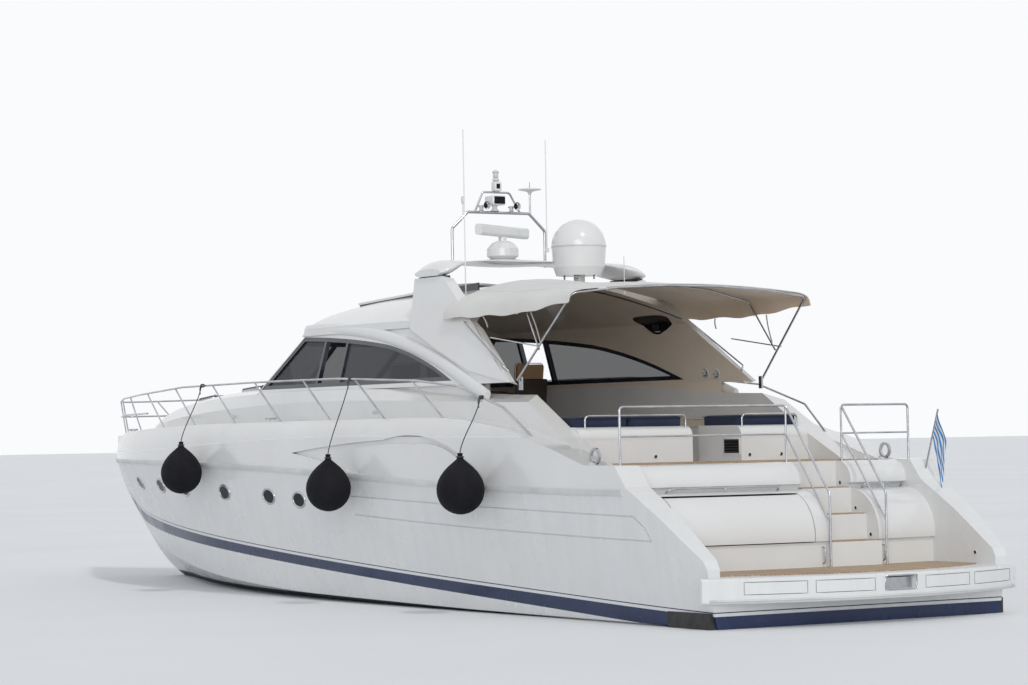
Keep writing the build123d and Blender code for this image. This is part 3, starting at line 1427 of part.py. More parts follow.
# Mooring rings at the quarters and cleats along the deck
ring_x = 2750
ring_y = 2160
ring_radius = 70
with BuildPart() as mooring_fittings:
    for s in (1, -1):
        with BuildSketch(Plane(origin=(ring_x, s * ring_y + 15, deck_z + 110), x_dir=(1, 0, 0), z_dir=(0, -1, 0))):
            Circle(ring_radius + 28)
            Circle(ring_radius, mode=Mode.SUBTRACT)
        extrude(amount=30)
        with Locations((ring_x, s * ring_y, deck_z + 2)):
            Box(160, 60, 32)
    for x in (0.868 * length, 10700):
        for s in (1, -1):
            y = s * (between(x, 6) - 130)
            z = between(x, 7)
            for step in (-60, 60):
                add(rod((x + step, y, z - 40), (x + step, y, z + 50), 14))
            add(rod((x - 160, y, z + 55), (x + 160, y, z + 55), 14))
    add(deck.part, mode=Mode.SUBTRACT)
mooring_fittings.part.label = "mooring_fittings"
export_step(mooring_fittings.part, "parts/mooring_fittings.step")

# Sliding roof panel with its rails
panel_aft_x = 8700
panel_fwd_x = 10700
panel_half = 745
panel_slope = 0.0475
panel_front_z = 4135
panel_thickness = 28
panel_crown = 95
panel_travel = 1200
runner_y = panel_half - 30
runner_half = 12
rail_top_z = panel_front_z - panel_crown * ((runner_y + runner_half) / panel_half) ** 2 - cushion_gap
with BuildPart() as roof_rails:
    for s in (1, -1):
        with BuildSketch(Plane.XZ.offset(-s * runner_y - runner_half)):
            with BuildLine():
                aft = panel_aft_x - panel_travel + 40
                Polyline((panel_fwd_x - 10, 3900), (panel_fwd_x - 10, rail_top_z),
                         (aft, rail_top_z + panel_slope * (panel_fwd_x - aft)), (aft, 3900),
                         close=True)
            make_face()
        extrude(amount=2 * runner_half)
    add(roof_form(0, 0), mode=Mode.SUBTRACT)
roof_rails.part.label = "roof_rails"
export_step(roof_rails.part, "parts/roof_rails.step")

with BuildPart() as roof_panel:
    with BuildSketch(Plane.YZ.offset(panel_fwd_x)):
        with BuildLine():
            ThreePointArc((panel_half, panel_front_z - panel_crown), (0, panel_front_z),
                          (-panel_half, panel_front_z - panel_crown))
            ThreePointArc((panel_half, panel_front_z - panel_crown + panel_thickness),
                          (0, panel_front_z + panel_thickness),
                          (-panel_half, panel_front_z - panel_crown + panel_thickness))
            Line((panel_half, panel_front_z - panel_crown),
                 (panel_half, panel_front_z - panel_crown + panel_thickness))
            Line((-panel_half, panel_front_z - panel_crown),
                 (-panel_half, panel_front_z - panel_crown + panel_thickness))
        make_face()
    extrude(amount=hypot(1, panel_slope) * (panel_fwd_x - panel_aft_x), dir=(-1, 0, panel_slope))
roof_panel.part.label = "roof_panel"
export_step(roof_panel.part, "parts/roof_panel.step")

# Ensign
with BuildPart() as ensign:
    with BuildSketch(Plane.XZ.offset(2185)):
        with BuildLine():
            Polyline((1799, 2370), (1700, 2200), (1640, 1700), (1760, 1640), (1926, 1960), close=True)
        make_face()
    extrude(amount=24)
    add(rod(staff_foot, staff_head, staff_radius + 0.4), mode=Mode.SUBTRACT)
ensign.part.label = "ensign"
export_step(ensign.part, "parts/ensign.step")
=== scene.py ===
from math import cos, hypot, pi, radians, sin, sqrt

import bpy
from mathutils import Euler, Matrix, Vector
from mathutils.bvhtree import BVHTree


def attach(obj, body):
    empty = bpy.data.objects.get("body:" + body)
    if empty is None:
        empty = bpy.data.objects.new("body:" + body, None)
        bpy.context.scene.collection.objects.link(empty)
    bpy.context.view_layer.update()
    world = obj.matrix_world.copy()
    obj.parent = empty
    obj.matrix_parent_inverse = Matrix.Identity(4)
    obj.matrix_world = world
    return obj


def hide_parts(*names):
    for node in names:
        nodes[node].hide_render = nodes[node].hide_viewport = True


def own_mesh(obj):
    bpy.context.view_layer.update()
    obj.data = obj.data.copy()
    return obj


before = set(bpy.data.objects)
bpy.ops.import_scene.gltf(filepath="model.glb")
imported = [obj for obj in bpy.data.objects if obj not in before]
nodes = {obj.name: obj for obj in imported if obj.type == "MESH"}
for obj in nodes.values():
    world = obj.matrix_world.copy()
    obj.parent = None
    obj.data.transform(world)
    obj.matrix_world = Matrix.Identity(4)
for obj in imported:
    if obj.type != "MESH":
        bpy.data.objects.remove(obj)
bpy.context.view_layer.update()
scene = bpy.context.scene
forward, to_port, upward = Matrix.Identity(3)
both_sides = ((1, "port"), (-1, "stbd"))


def add_object(name, data):
    """Object in the scene that shows the data."""
    obj = bpy.data.objects.new(name, data)
    scene.collection.objects.link(obj)
    return obj


# Camera at the photo's viewing angle
camera_data = bpy.data.cameras.new("camera")
camera_data.sensor_width = 36
camera_data.lens = 103.27
camera_data.clip_end = 900
camera = add_object("camera", camera_data)
camera_place = (-25.437, 21.314, 2.150)
camera_yaw = -0.570
camera_pitch = 0.032
camera_roll = -0.017
camera.matrix_world = (
    Matrix.Translation(camera_place)
    @ Matrix.Rotation(camera_yaw - pi / 2, 4, "Z")
    @ Matrix.Rotation(pi / 2 + camera_pitch, 4, "X")
    @ Matrix.Rotation(camera_roll, 4, "Z")
)
scene.camera = camera


# Node helpers
class Value:
    """Output of a node that takes plain arithmetic, one math node a step."""

    def __init__(self, socket):
        self.socket = socket

    def step(self, operation, *others):
        node = self.socket.id_data.nodes.new("ShaderNodeMath")
        node.operation = operation
        for slot, value in zip(node.inputs, (self, *others)):
            feed(slot, value)
        return Value(node.outputs[0])

    def __add__(self, other):
        return self.step("ADD", other)

    def __sub__(self, other):
        return self.step("SUBTRACT", other)

    def __mul__(self, other):
        return self.step("MULTIPLY", other)

    def __lt__(self, other):
        return self.step("LESS_THAN", other)

    def __gt__(self, other):
        return self.step("GREATER_THAN", other)


def feed(slot, value):
    """Node output, number or colour into an input."""
    if isinstance(value, Value):
        slot.id_data.links.new(value.socket, slot)
    else:
        slot.default_value = (*value, 1) if slot.type == "RGBA" else value


def feed_all(inputs, values):
    for name, value in values.items():
        feed(inputs[name], value)


def add_node(source, kind, slot, values={}):
    """Node with a source on one input and values on others."""
    node = source.socket.id_data.nodes.new(kind)
    feed(node.inputs[slot], source)
    feed_all(node.inputs, values)
    return node


def new_material(name):
    """Material, the inputs of its shader and the object's coordinates."""
    material = bpy.data.materials.new(name)
    material.use_nodes = True
    tree = material.node_tree
    where = Value(tree.nodes.new("ShaderNodeTexCoord").outputs["Object"])
    return material, tree.nodes["Principled BSDF"].inputs, where


def ramp(source, *stops):
    """Colour ramp on a value."""
    node = add_node(source, "ShaderNodeValToRGB", 0)
    elements = node.color_ramp.elements
    while len(elements) < len(stops):
        elements.new(0.5)
    for element, (place, colour) in zip(elements, stops):
        element.position = place
        element.color = (*colour, 1)
    return Value(node.outputs["Color"])


def noise(where, scale, detail=4.0):
    settings = {"Scale": scale, "Detail": detail, "Roughness": 0.55}
    return Value(add_node(where, "ShaderNodeTexNoise", "Vector", settings).outputs["Fac"])


def stretched(where, scale):
    """Coordinates scaled apart along the axes."""
    return Value(add_node(where, "ShaderNodeMapping", "Vector", {"Scale": scale}).outputs["Vector"])


def split(where):
    return [Value(socket) for socket in add_node(where, "ShaderNodeSeparateXYZ", 0).outputs]


def facing(where):
    """Direction that the surface faces, in the boat's own axes."""
    return split(Value(where.socket.node.outputs["Normal"]))


def mixed(share, first, second):
    """Two colours mixed by a share."""
    node = add_node(share, "ShaderNodeMix", "Factor")
    node.data_type = "RGBA"
    feed(node.inputs[6], first)
    feed(node.inputs[7], second)
    return Value(node.outputs[2])


def bump(inputs, height, strength, distance):
    node = add_node(height, "ShaderNodeBump", "Height", {"Strength": strength, "Distance": distance})
    feed(inputs["Normal"], Value(node.outputs["Normal"]))


def worn_roughness(inputs, where, scale, roughness):
    limits = {"To Min": max(0.02, roughness * 0.8), "To Max": min(1, roughness * 1.25)}
    wear = add_node(noise(where, scale), "ShaderNodeMapRange", "Value", limits)
    feed(inputs["Roughness"], Value(wear.outputs["Result"]))


def plain(name, low, high, roughness, scale=3.0, metallic=0.0, coat=0.0, bump_scale=0, bump_strength=0.1,
          bump_distance=0.001, specular=0.5):
    """Two-tone surface with slow colour variation, uneven gloss and a fine bump."""
    material, inputs, where = new_material(name)
    feed_all(inputs, {"Base Color": ramp(noise(where, scale), (0.35, low), (0.65, high)),
                      "Metallic": metallic, "Coat Weight": coat, "Specular IOR Level": specular})
    worn_roughness(inputs, where, scale * 3.7, roughness)
    if bump_scale:
        bump(inputs, noise(where, bump_scale), bump_strength, bump_distance)
    return material


def woven(name, low, high, thread, strength, sheen=0.3, slow=2.5):
    """Cloth with crossing threads and slow fading."""
    material, inputs, where = new_material(name)
    x, y, z = split(where)
    weave = ((x + z) * thread).step("SINE") * ((y - z) * thread).step("SINE")
    feed_all(inputs, {"Base Color": ramp(noise(where, slow, 6), (0.3, low), (0.7, high)),
                      "Sheen Weight": sheen, "Specular IOR Level": 0.2})
    worn_roughness(inputs, where, 8, 0.85)
    bump(inputs, weave, strength, 0.0008)
    return material


def leather(name, low, high):
    """Upholstery leather with pores and slow colour variation."""
    material, inputs, where = new_material(name)
    feed(inputs["Base Color"], ramp(noise(where, 3, 5), (0.3, low), (0.7, high)))
    worn_roughness(inputs, where, 14, 0.48)
    cells = add_node(where, "ShaderNodeTexVoronoi", "Vector", {"Scale": 220})
    bump(inputs, Value(cells.outputs["Distance"]), 0.25, 0.0008)
    return material


# Materials
white = (0.74, 0.745, 0.74)
off_white = (0.70, 0.70, 0.695)
gelcoat = plain("gelcoat", off_white, white, 0.2, scale=0.7, coat=0.35, bump_scale=1.6, bump_strength=0.12,
                bump_distance=0.004)
stainless = plain("stainless", (0.40, 0.41, 0.43), (0.54, 0.55, 0.57), 0.2, scale=5, metallic=1.0)
dark_frame = plain("dark_frame", (0.010, 0.012, 0.022), (0.025, 0.028, 0.045), 0.25, scale=4, coat=0.3)
rubber = plain("rubber", (0.012, 0.012, 0.013), (0.03, 0.03, 0.03), 0.6, scale=9, bump_scale=60,
               bump_strength=0.2)
strake_white = plain("strake_white", (0.55, 0.56, 0.56), (0.66, 0.67, 0.67), 0.4, scale=2, bump_scale=30)
bronze = plain("bronze", (0.34, 0.23, 0.10), (0.52, 0.37, 0.18), 0.32, scale=9, metallic=1.0, bump_scale=40,
               bump_strength=0.15)
antifoul = plain("antifoul", (0.012, 0.016, 0.04), (0.024, 0.030, 0.06), 0.6, scale=5, bump_scale=25,
                 bump_strength=0.2)
smoked = plain("smoked", (0.018, 0.02, 0.024), (0.035, 0.038, 0.045), 0.1, scale=2, coat=0.5)
rope = woven("rope", (0.03, 0.03, 0.035), (0.08, 0.08, 0.085), 900, 0.6)
console_dark = plain("console_dark", (0.07, 0.055, 0.05), (0.12, 0.10, 0.085), 0.5, scale=5, bump_scale=90,
                     bump_strength=0.25)
seat_shell = plain("seat_shell", (0.03, 0.022, 0.018), (0.055, 0.04, 0.032), 0.35, scale=4)
sunpad_navy = woven("sunpad_navy", (0.018, 0.026, 0.055), (0.03, 0.04, 0.08), 700, 0.35, sheen=0.1)
fender_cover = woven("fender_cover", (0.005, 0.005, 0.007), (0.011, 0.011, 0.014), 420, 0.8, sheen=0.0)
webbing = woven("webbing", (0.42, 0.38, 0.33), (0.55, 0.50, 0.44), 1200, 0.5)
lamp_lens = plain("lamp_lens", (0.55, 0.56, 0.57), (0.66, 0.67, 0.68), 0.15, scale=20)
pale_grey = plain("pale_grey", (0.55, 0.56, 0.55), (0.64, 0.65, 0.64), 0.35, scale=4)
black_gloss = plain("black_gloss", (0.006, 0.006, 0.008), (0.014, 0.014, 0.018), 0.15, scale=8, specular=0.12)
shadow_gap = plain("shadow_gap", (0.10, 0.11, 0.13), (0.16, 0.17, 0.19), 0.6, scale=12)
cream_leather = leather("cream_leather", (0.62, 0.56, 0.46), (0.70, 0.64, 0.54))
tan_leather = leather("tan_leather", (0.40, 0.25, 0.14), (0.50, 0.33, 0.20))

# Hull side: white over a fine line, a navy boot stripe and dark bottom paint
stripe_top = (0.12136, 0.03636, 0.00121)
stripe_bottom = (-0.08244, 0.05131, 0.00042)
fine_line_gap = 0.036
fine_line_width = 0.012
bottom_paint_start_x = 3.0
bottom_paint_rise = 0.013
bottom_paint_top = 0.085


def curve_height(x, terms):
    """Height of a line on the hull over its place along the boat."""
    return x * terms[1] + terms[0] + x * x * terms[2]


hull_paint, inputs, where = new_material("hull_paint")
x, y, z = split(where)
upper = curve_height(x, stripe_top)
stripe = (z < upper) * (z > curve_height(x, stripe_bottom))
line_low = upper + fine_line_gap
fine_line = (z > line_low) * (z < line_low + fine_line_width)
paint_top = (x - bottom_paint_start_x).step("MAXIMUM", 0.0) * bottom_paint_rise
bottom = z < paint_top.step("MINIMUM", bottom_paint_top)
# Faint streaks that run down from the gunwale
streaks = noise(stretched(where, (5.0, 5.0, 0.35)), 1.4, 5)
body_colour = ramp(streaks, (0.30, (0.705, 0.712, 0.71)), (0.60, (0.735, 0.742, 0.742)))
navy = ramp(noise(where, 2.2), (0.3, (0.012, 0.024, 0.075)), (0.7, (0.022, 0.036, 0.10)))
deep = ramp(noise(where, 6), (0.3, (0.008, 0.011, 0.022)), (0.7, (0.018, 0.023, 0.04)))
topsides = mixed(stripe.step("MAXIMUM", fine_line), body_colour, navy)
feed_all(inputs, {"Base Color": mixed(bottom, topsides, deep),
                  "Roughness": bottom * 0.35 + noise(where, 0.9) * 0.5,
                  "Specular IOR Level": 0.35, "Coat Weight": 0.08})
bump(inputs, noise(where, 1.4), 0.12, 0.004)


def shell_colour(where):
    """Slow tones of the white mouldings."""
    return ramp(noise(where, 0.7), (0.35, off_white), (0.65, white))


# Deck: gelcoat with grey non-slip on the walkways
walkway_low_z = 2.2
walkway_aft_x = 6.6
deck_paint, inputs, where = new_material("deck_paint")
x, y, z = split(where)
flat = (facing(where)[2] > 0.992) * (z > walkway_low_z) * (x > walkway_aft_x)
speckle = noise(where, 160, 2)
grip = ramp(speckle, (0.35, (0.52, 0.53, 0.52)), (0.65, (0.62, 0.63, 0.62)))
feed_all(inputs, {"Base Color": mixed(flat, shell_colour(where), grip), "Roughness": flat * 0.45 + 0.2,
                  "Coat Weight": 0.25})
bump(inputs, speckle * flat, 0.35, 0.002)

# Hardtop: white gelcoat outside; inside, faces turned inward, downward or aft are warm cream, partly the
# lining's own colour and partly painted shade and warm bounce light
wall_foot = (4.3, 1.872, 2.82)
wall_closing = -0.0185
wall_lean = -0.218
dashboard_x = 9.0
hardtop_paint, inputs, where = new_material("hardtop_paint")
x, y, z = split(where)
nx, ny, nz = facing(where)
wall_y = (x - wall_foot[0]) * wall_closing + wall_foot[1] + (z - wall_foot[2]) * wall_lean
inside = y.step("ABSOLUTE") < wall_y
turned_in = ny * y.step("SIGN") < -0.25
ceiling = nz < -0.2
ahead = (nx < -0.5) * (x > dashboard_x)
lining_and_shade = inside * turned_in.step("MAXIMUM", ceiling).step("MAXIMUM", ahead)
# Warm cream on faces turned in and down: partly the lining's own tone, partly painted shade and warm bounce
# light
cream_and_painted_shade = ramp(noise(where, 2.2, 5), (0.3, (0.74, 0.65, 0.55)), (0.7, (0.79, 0.71, 0.61)))
feed_all(inputs, {"Base Color": mixed(lining_and_shade, shell_colour(where), cream_and_painted_shade), "Roughness": lining_and_shade * 0.3 + 0.2,
                  "Coat Weight": 0.25})
bump(inputs, noise(where, 1.6), 0.12, 0.004)

# Teak: planks with grain and dark caulking
plank_width = 0.052
caulk_share = 0.10
teak, inputs, where = new_material("teak_planks")
x, y, z = split(where)
board = y.step("DIVIDE", plank_width) + 100.5
seam_line = (board.step("FRACT") - 0.5).step("ABSOLUTE") > 0.5 - caulk_share / 2
# Each board has its own shade, from its number
shade = ((board.step("FLOOR") * 12.9898).step("SINE") * 43.7585).step("FRACT")
grain = noise(stretched(where, (1.2, 34.0, 34.0)), 3.0, 6)
wood = ramp(grain * 0.7 + shade * 0.3, (0.25, (0.30, 0.20, 0.12)), (0.6, (0.47, 0.34, 0.22)),
            (0.85, (0.55, 0.42, 0.29)))
feed_all(inputs, {"Base Color": mixed(seam_line, wood, (0.02, 0.018, 0.017)), "Roughness": 0.62})
bump(inputs, grain * 0.25 - seam_line, 0.4, 0.0015)

# Tinted glass
glass, inputs, where = new_material("window_glass")
tint = ramp(noise(where, 1.2), (0.3, (0.02, 0.023, 0.03)), (0.7, (0.03, 0.035, 0.045)))
feed_all(inputs, {"Base Color": tint, "Roughness": 0.04, "Specular IOR Level": 0.25, "Alpha": 0.62})

# Canvas of the canopy: white outside; the tan underneath is painted warm shade on the same cloth
canvas_white = woven("canvas_white", (0.66, 0.65, 0.62), (0.73, 0.72, 0.70), 900, 0.3, slow=1.4)
canvas_shaded_tan = woven("canvas_shaded_tan", (0.66, 0.53, 0.40), (0.75, 0.62, 0.49), 900, 0.3, slow=1.4)

# Ensign of plain blue and white bars
bars_across = 4.5
ensign_cloth, inputs, where = new_material("ensign_cloth")
cloth_place = where.socket.id_data.nodes.new("ShaderNodeAttribute")
cloth_place.attribute_name = "cloth_place"
bars = (split(Value(cloth_place.outputs["Vector"]))[0] * bars_across).step("FRACT") > 0.5
feed_all(inputs, {"Base Color": mixed(bars, (0.04, 0.22, 0.55), (0.72, 0.75, 0.78)), "Roughness": 0.85,
                  "Sheen Weight": 0.2})
bump(inputs, noise(where, 500, 2), 0.3, 0.0006)

# Material of each CAD piece
looks = (
    (hull_paint, "hull bathing_platform"),
    (deck_paint, "deck coachroof"),
    (hardtop_paint, "hardtop"),
    (gelcoat, "arch_wing mast_fittings radar_pedestal radar_scanner satellite_dome antennas transom"),
    (gelcoat, "garage_door cockpit_lockers anchor_locker_lid roof_panel"),
    (strake_white, "strake"),
    (dark_frame, "window_frames roof_rails"),
    (glass, "glazing"),
    (rubber, "arch_seals steering_wheel exhaust_outlets"),
    (stainless, "mast passerelle seat_pedestals door_track bimini_bow bimini_second_bow bimini_stays"),
    (stainless, "bow_rail stern_rails cockpit_rails hatch_frames mooring_fittings"),
    (teak, "teak"),
    (cream_leather, "cockpit_cushions"),
    (console_dark, "helm_console"),
    (tan_leather, "helm_seats"),
    (smoked, "companionway_door hatch_aft hatch_fwd"),
    (canvas_shaded_tan, "canopy"),
    (bronze, "propeller_port propeller_stbd"),
    (antifoul, "rudder_port rudder_stbd shaft_brackets"),
    (fender_cover, "fenders"),
    (rope, "fender_lines"),
    (ensign_cloth, "ensign"),
)
for material, names in looks:
    for name in names.split():
        mesh = nodes[name].data
        if not mesh.materials:
            mesh.materials.append(material)
        for i in range(len(mesh.materials)):
            mesh.materials[i] = material


# Mesh helpers
def smooth_all(mesh):
    mesh.polygons.foreach_set("use_smooth", [True] * len(mesh.polygons))


def add_mesh(name, points, faces, material, smooth=True):
    mesh = bpy.data.meshes.new(name)
    mesh.from_pydata([tuple(p) for p in points], [], faces)
    mesh.update()
    mesh.materials.append(material)
    if smooth:
        smooth_all(mesh)
    return add_object(name, mesh)


def keep(obj, body="boat"):
    """Piece rides a body."""
    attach(obj, body)
    return obj


def settle(obj):
    """Modifiers applied to the mesh."""
    graph = bpy.context.evaluated_depsgraph_get()
    graph.update()
    mesh = bpy.data.meshes.new_from_object(obj.evaluated_get(graph))
    obj.modifiers.clear()
    obj.data = mesh
    smooth_all(mesh)


def round_edges(obj, width, segments=2):
    bevel = obj.modifiers.new("round", "BEVEL")
    bevel.width = width
    bevel.segments = segments
    settle(obj)


def refine(obj):
    """One level of subdivision."""
    fine = obj.modifiers.new("fine", "SUBSURF")
    fine.levels = fine.render_levels = 1
    settle(obj)


def turn_about(obj, turn, centre):
    centre = Vector(centre)
    obj.data.transform(Matrix.Translation(centre) @ turn @ Matrix.Translation(-centre))


def ring(centre, across, rise, radius, count):
    """Points on a circle, or on an ellipse where the two directions differ in length."""
    turns = [2 * pi * k / count for k in range(count)]
    return [centre + (across * cos(a) + rise * sin(a)) * radius for a in turns]


def ring_faces(rows, count, closed_rows=False):
    """Quads between rings of points."""
    faces = []
    for r in range(rows if closed_rows else rows - 1):
        here, there = r * count, (r + 1) % rows * count
        for k in range(count):
            after = (k + 1) % count
            faces.append((here + k, here + after, there + after, there + k))
    return faces


def grid_faces(rows, columns):
    """Quads of a sheet of points."""
    width = columns + 1
    corners = [i * width + j for i in range(rows) for j in range(columns)]
    return [(a, a + 1, a + width + 1, a + width) for a in corners]


def rounded_path(points, bend, steps=5):
    """Corners of a path rounded off."""
    points = [Vector(p) for p in points]
    path = [points[0]]
    for before, corner, after in zip(points, points[1:], points[2:]):
        inward, outward = before - corner, after - corner
        cut = min(bend, inward.length / 2.01, outward.length / 2.01)
        start, end = corner + inward.normalized() * cut, corner + outward.normalized() * cut
        for k in range(steps + 1):
            t = k / steps
            path.append(start * (1 - t) ** 2 + corner * 2 * t * (1 - t) + end * t ** 2)
    path.append(points[-1])
    return path


def pipe(name, points, radius, material, bend=0.04, sides=12, closed=False, body="boat"):
    """Round bar along a path with rounded corners and closed ends."""
    path = [Vector(p) for p in points] if closed else rounded_path(points, bend)
    rings, normal = [], None
    last = len(path) - 1
    for k, point in enumerate(path):
        before = path[(k - 1) % len(path)] if closed or k > 0 else point
        after = path[(k + 1) % len(path)] if closed or k < last else point
        tangent = (after - before).normalized()
        if normal is None:
            normal = tangent.orthogonal().normalized()
        normal = (normal - tangent * normal.dot(tangent)).normalized()
        rings += ring(point, normal, tangent.cross(normal), radius, sides)
    faces = ring_faces(len(path), sides, closed)
    if not closed:
        faces.append(tuple(range(sides))[::-1])
        faces.append(tuple(range(last * sides, (last + 1) * sides)))
    return keep(add_mesh(name, rings, faces, material), body)


def lathe(name, profile, foot, material, axis=upward, sides=32):
    """Profile of radius and height turned about an axis."""
    axis = Vector(axis).normalized()
    side = axis.orthogonal().normalized()
    rings = []
    for radius, height in profile:
        rings += ring(Vector(foot) + axis * height, side, axis.cross(side), max(radius, 1e-4), sides)
    faces = ring_faces(len(profile), sides)
    faces.append(tuple(range(sides))[::-1])
    faces.append(tuple(range((len(profile) - 1) * sides, len(profile) * sides)))
    return keep(add_mesh(name, rings, faces, material))


def rounded_block(name, low, high, round_off, material, segments=3, turn=None, about=None):
    """Box with rounded edges."""
    ends = tuple(zip(low, high))
    points = [(x, y, z) for z in ends[2] for y in ends[1] for x in ends[0]]
    faces = [(0, 2, 3, 1), (4, 5, 7, 6), (0, 1, 5, 4), (2, 6, 7, 3), (0, 4, 6, 2), (1, 3, 7, 5)]
    obj = add_mesh(name, points, faces, material)
    if turn:
        turn_about(obj, turn, about)
    round_edges(obj, round_off, segments)
    return keep(obj)


def flat_shape(name, outline, thickness, material, round_off=0.0):
    """Plate with a given outline and thickness; the outline's order gives its outer side."""
    outline = [Vector(p) for p in outline]
    normal = (outline[1] - outline[0]).cross(outline[2] - outline[1]).normalized()
    count = len(outline)
    points = [p - normal * 0.004 for p in outline] + [p + normal * thickness for p in outline]
    faces = [tuple(range(count))[::-1], tuple(range(count, 2 * count))]
    faces += [(k, (k + 1) % count, count + (k + 1) % count, count + k) for k in range(count)]
    obj = add_mesh(name, points, faces, material, smooth=False)
    if round_off:
        round_edges(obj, round_off)
    return keep(obj)


trees = {}


def cast(node, start, direction):
    """Place and direction of a CAD surface met by a ray."""
    if node not in trees:
        mesh = nodes[node].data
        trees[node] = BVHTree.FromPolygons([v.co[:] for v in mesh.vertices],
                                           [p.vertices[:] for p in mesh.polygons])
    return trees[node].ray_cast(Vector(start), Vector(direction))[:2]


# Fender lines: free ropes from the fenders to the top rail
fender_radius = 0.290
fender_rise = 1.55 * fender_radius
fender_clearance = 0.056
line_radius = 0.007
rail_radius = 0.014
fenders_at = [(12.390, 1.715), (7.930, 1.520), (4.740, 1.520)]
rail_points = [(12.600, 2.253, 2.960), (8.140, 2.336, 2.9415), (4.950, 2.3205, 2.637)]
strake_line = [(3.203, 2.390), (5.797, 2.445), (8.392, 2.465), (11.007, 2.440), (13.398, 2.310)]


def side_y(x):
    """Half beam at the strake near the fenders."""
    for (x0, y0), (x1, y1) in zip(strake_line, strake_line[1:]):
        if x0 <= x <= x1:
            return y0 + (y1 - y0) * (x - x0) / (x1 - x0)


fender_places = [(x, side_y(x) + fender_radius + fender_clearance, z) for x, z in fenders_at]
for number, ((x, y, z), rail) in enumerate(zip(fender_places, rail_points)):
    rail = Vector(rail)
    start = Vector((x, y, z + fender_rise - 0.01))
    end = rail + Vector((0, rail_radius + line_radius, 0))
    route = [start, start + Vector((0.004, -0.004, 0.09)), end + Vector((-0.012, 0.012, -0.10)), end]
    curve = bpy.data.curves.new(f"fender_line_{number}", "CURVE")
    curve.dimensions = "3D"
    spline = curve.splines.new("NURBS")
    spline.points.add(len(route) - 1)
    for point, place in zip(spline.points, route):
        point.co = (*place, 1)
    spline.order_u = 3
    spline.use_endpoint_u = True
    curve.bevel_depth = line_radius
    curve.bevel_resolution = 3
    curve.materials.append(rope)
    line = keep(add_object(f"fender_line_{number}", curve))
    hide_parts("fender_lines")
    # Turns of the knot round the rail and its tail
    for step in (-0.020, 0.0, 0.020):
        loop = ring(rail + forward * step, to_port, upward, rail_radius + line_radius, 14)
        pipe(f"knot_{number}_{int(step * 1000)}", loop, line_radius, rope, sides=8,
                          closed=True)
    tail = [end + Vector(way) for way in ((0.02, 0.0, 0.0), (0.030, 0.012, -0.05), (0.024, 0.004, -0.125))]
    pipe(f"knot_tail_{number}", tail, line_radius, rope, sides=8)
    (end - start).length * 1.01

# Fenders in knitted covers, gathered at the neck: radius and height as shares of the fender's radius
cover_profile = [(0.0, -1.0), (0.16, -0.985), (0.34, -0.94), (0.52, -0.855), (0.68, -0.735), (0.81, -0.585),
                 (0.905, -0.42), (0.965, -0.25), (0.995, -0.08), (1.0, 0.08), (0.975, 0.26), (0.915, 0.44),
                 (0.82, 0.62), (0.69, 0.80), (0.53, 0.97), (0.37, 1.11), (0.25, 1.21), (0.17, 1.28),
                 (0.125, 1.33), (0.15, 1.36), (0.15, 1.40), (0.11, 1.42), (0.10, 1.47), (0.12, 1.50),
                 (0.11, 1.545), (0.0, 1.55)]
gathers = 22
gather_depth = 0.055
cover_sides = 88
neck_height = 1.38 * fender_radius
for number, (x, y, z) in enumerate(fender_places):
    points = []
    for radius, height in cover_profile:
        pull = min(1, max(0, (height - 0.35) / 0.7)) * (1 if height < 1.34 else 0)
        under = min(1, max(0, (-0.6 - height) / 0.4)) * 0.5
        for n in range(cover_sides):
            turn = 2 * pi * n / cover_sides
            wave = 0.5 + 0.5 * cos(gathers * turn + 0.6 * sin(3 * turn + number))
            r = max(radius * fender_radius * (1 - gather_depth * (pull + under) * wave), 1e-4)
            points.append((x + r * cos(turn), y + r * sin(turn), z + height * fender_radius))
    cover = add_mesh(f"fender_{number}", points, ring_faces(len(cover_profile), cover_sides), fender_cover)
    keep(cover)
    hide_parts("fenders")
    lathe(f"fender_plate_{number}", [(0.034, 0), (0.036, 0.003), (0.032, 0.006), (0.0, 0.007)],
          (x, y, z - fender_radius + 0.003), pale_grey, axis=-upward, sides=24)
    pipe(f"fender_band_{number}", ring(Vector((x, y, z + neck_height)), forward, to_port, 0.046, 20), 0.006,
         rope, sides=8, closed=True)

# Portholes on both sides: oval rims with dark glass
portholes = [(15.72, 1.545), (14.40, 1.515), (13.30, 1.475), (11.80, 1.44), (10.38, 1.395), (9.49, 1.355)]
port_half_length = 0.185
port_half_height = 0.118
rim_width = 0.030
rim_profile = [(0.0, -0.004), (0.002, 0.008), (0.009, 0.015), (rim_width - 0.010, 0.015), (rim_width, 0.009),
               (rim_width, -0.003)]
oval_points = 48
for s, label in both_sides:
    for number, (x, z) in enumerate(portholes):
        place, normal = cast("hull", (x, s * 4, z), (0, -s, 0))
        if normal.y * s < 0:
            normal = -normal
        fore = (forward - normal * normal.x).normalized()
        rise = normal.cross(fore)

        def oval(inset, proud):
            """Outline of the porthole inside its edge and proud of the hull."""
            return ring(place + normal * proud, fore * (port_half_length - inset),
                        rise * (port_half_height - inset), 1, oval_points)

        rings = [point for row in rim_profile for point in oval(*row)]
        keep(add_mesh(f"port_rim_{label}_{number}", rings, ring_faces(len(rim_profile), oval_points),
                      stainless))
        keep(add_mesh(f"port_glass_{label}_{number}", oval(rim_width - 0.001, 0.003),
                      [tuple(range(oval_points))], black_gloss))

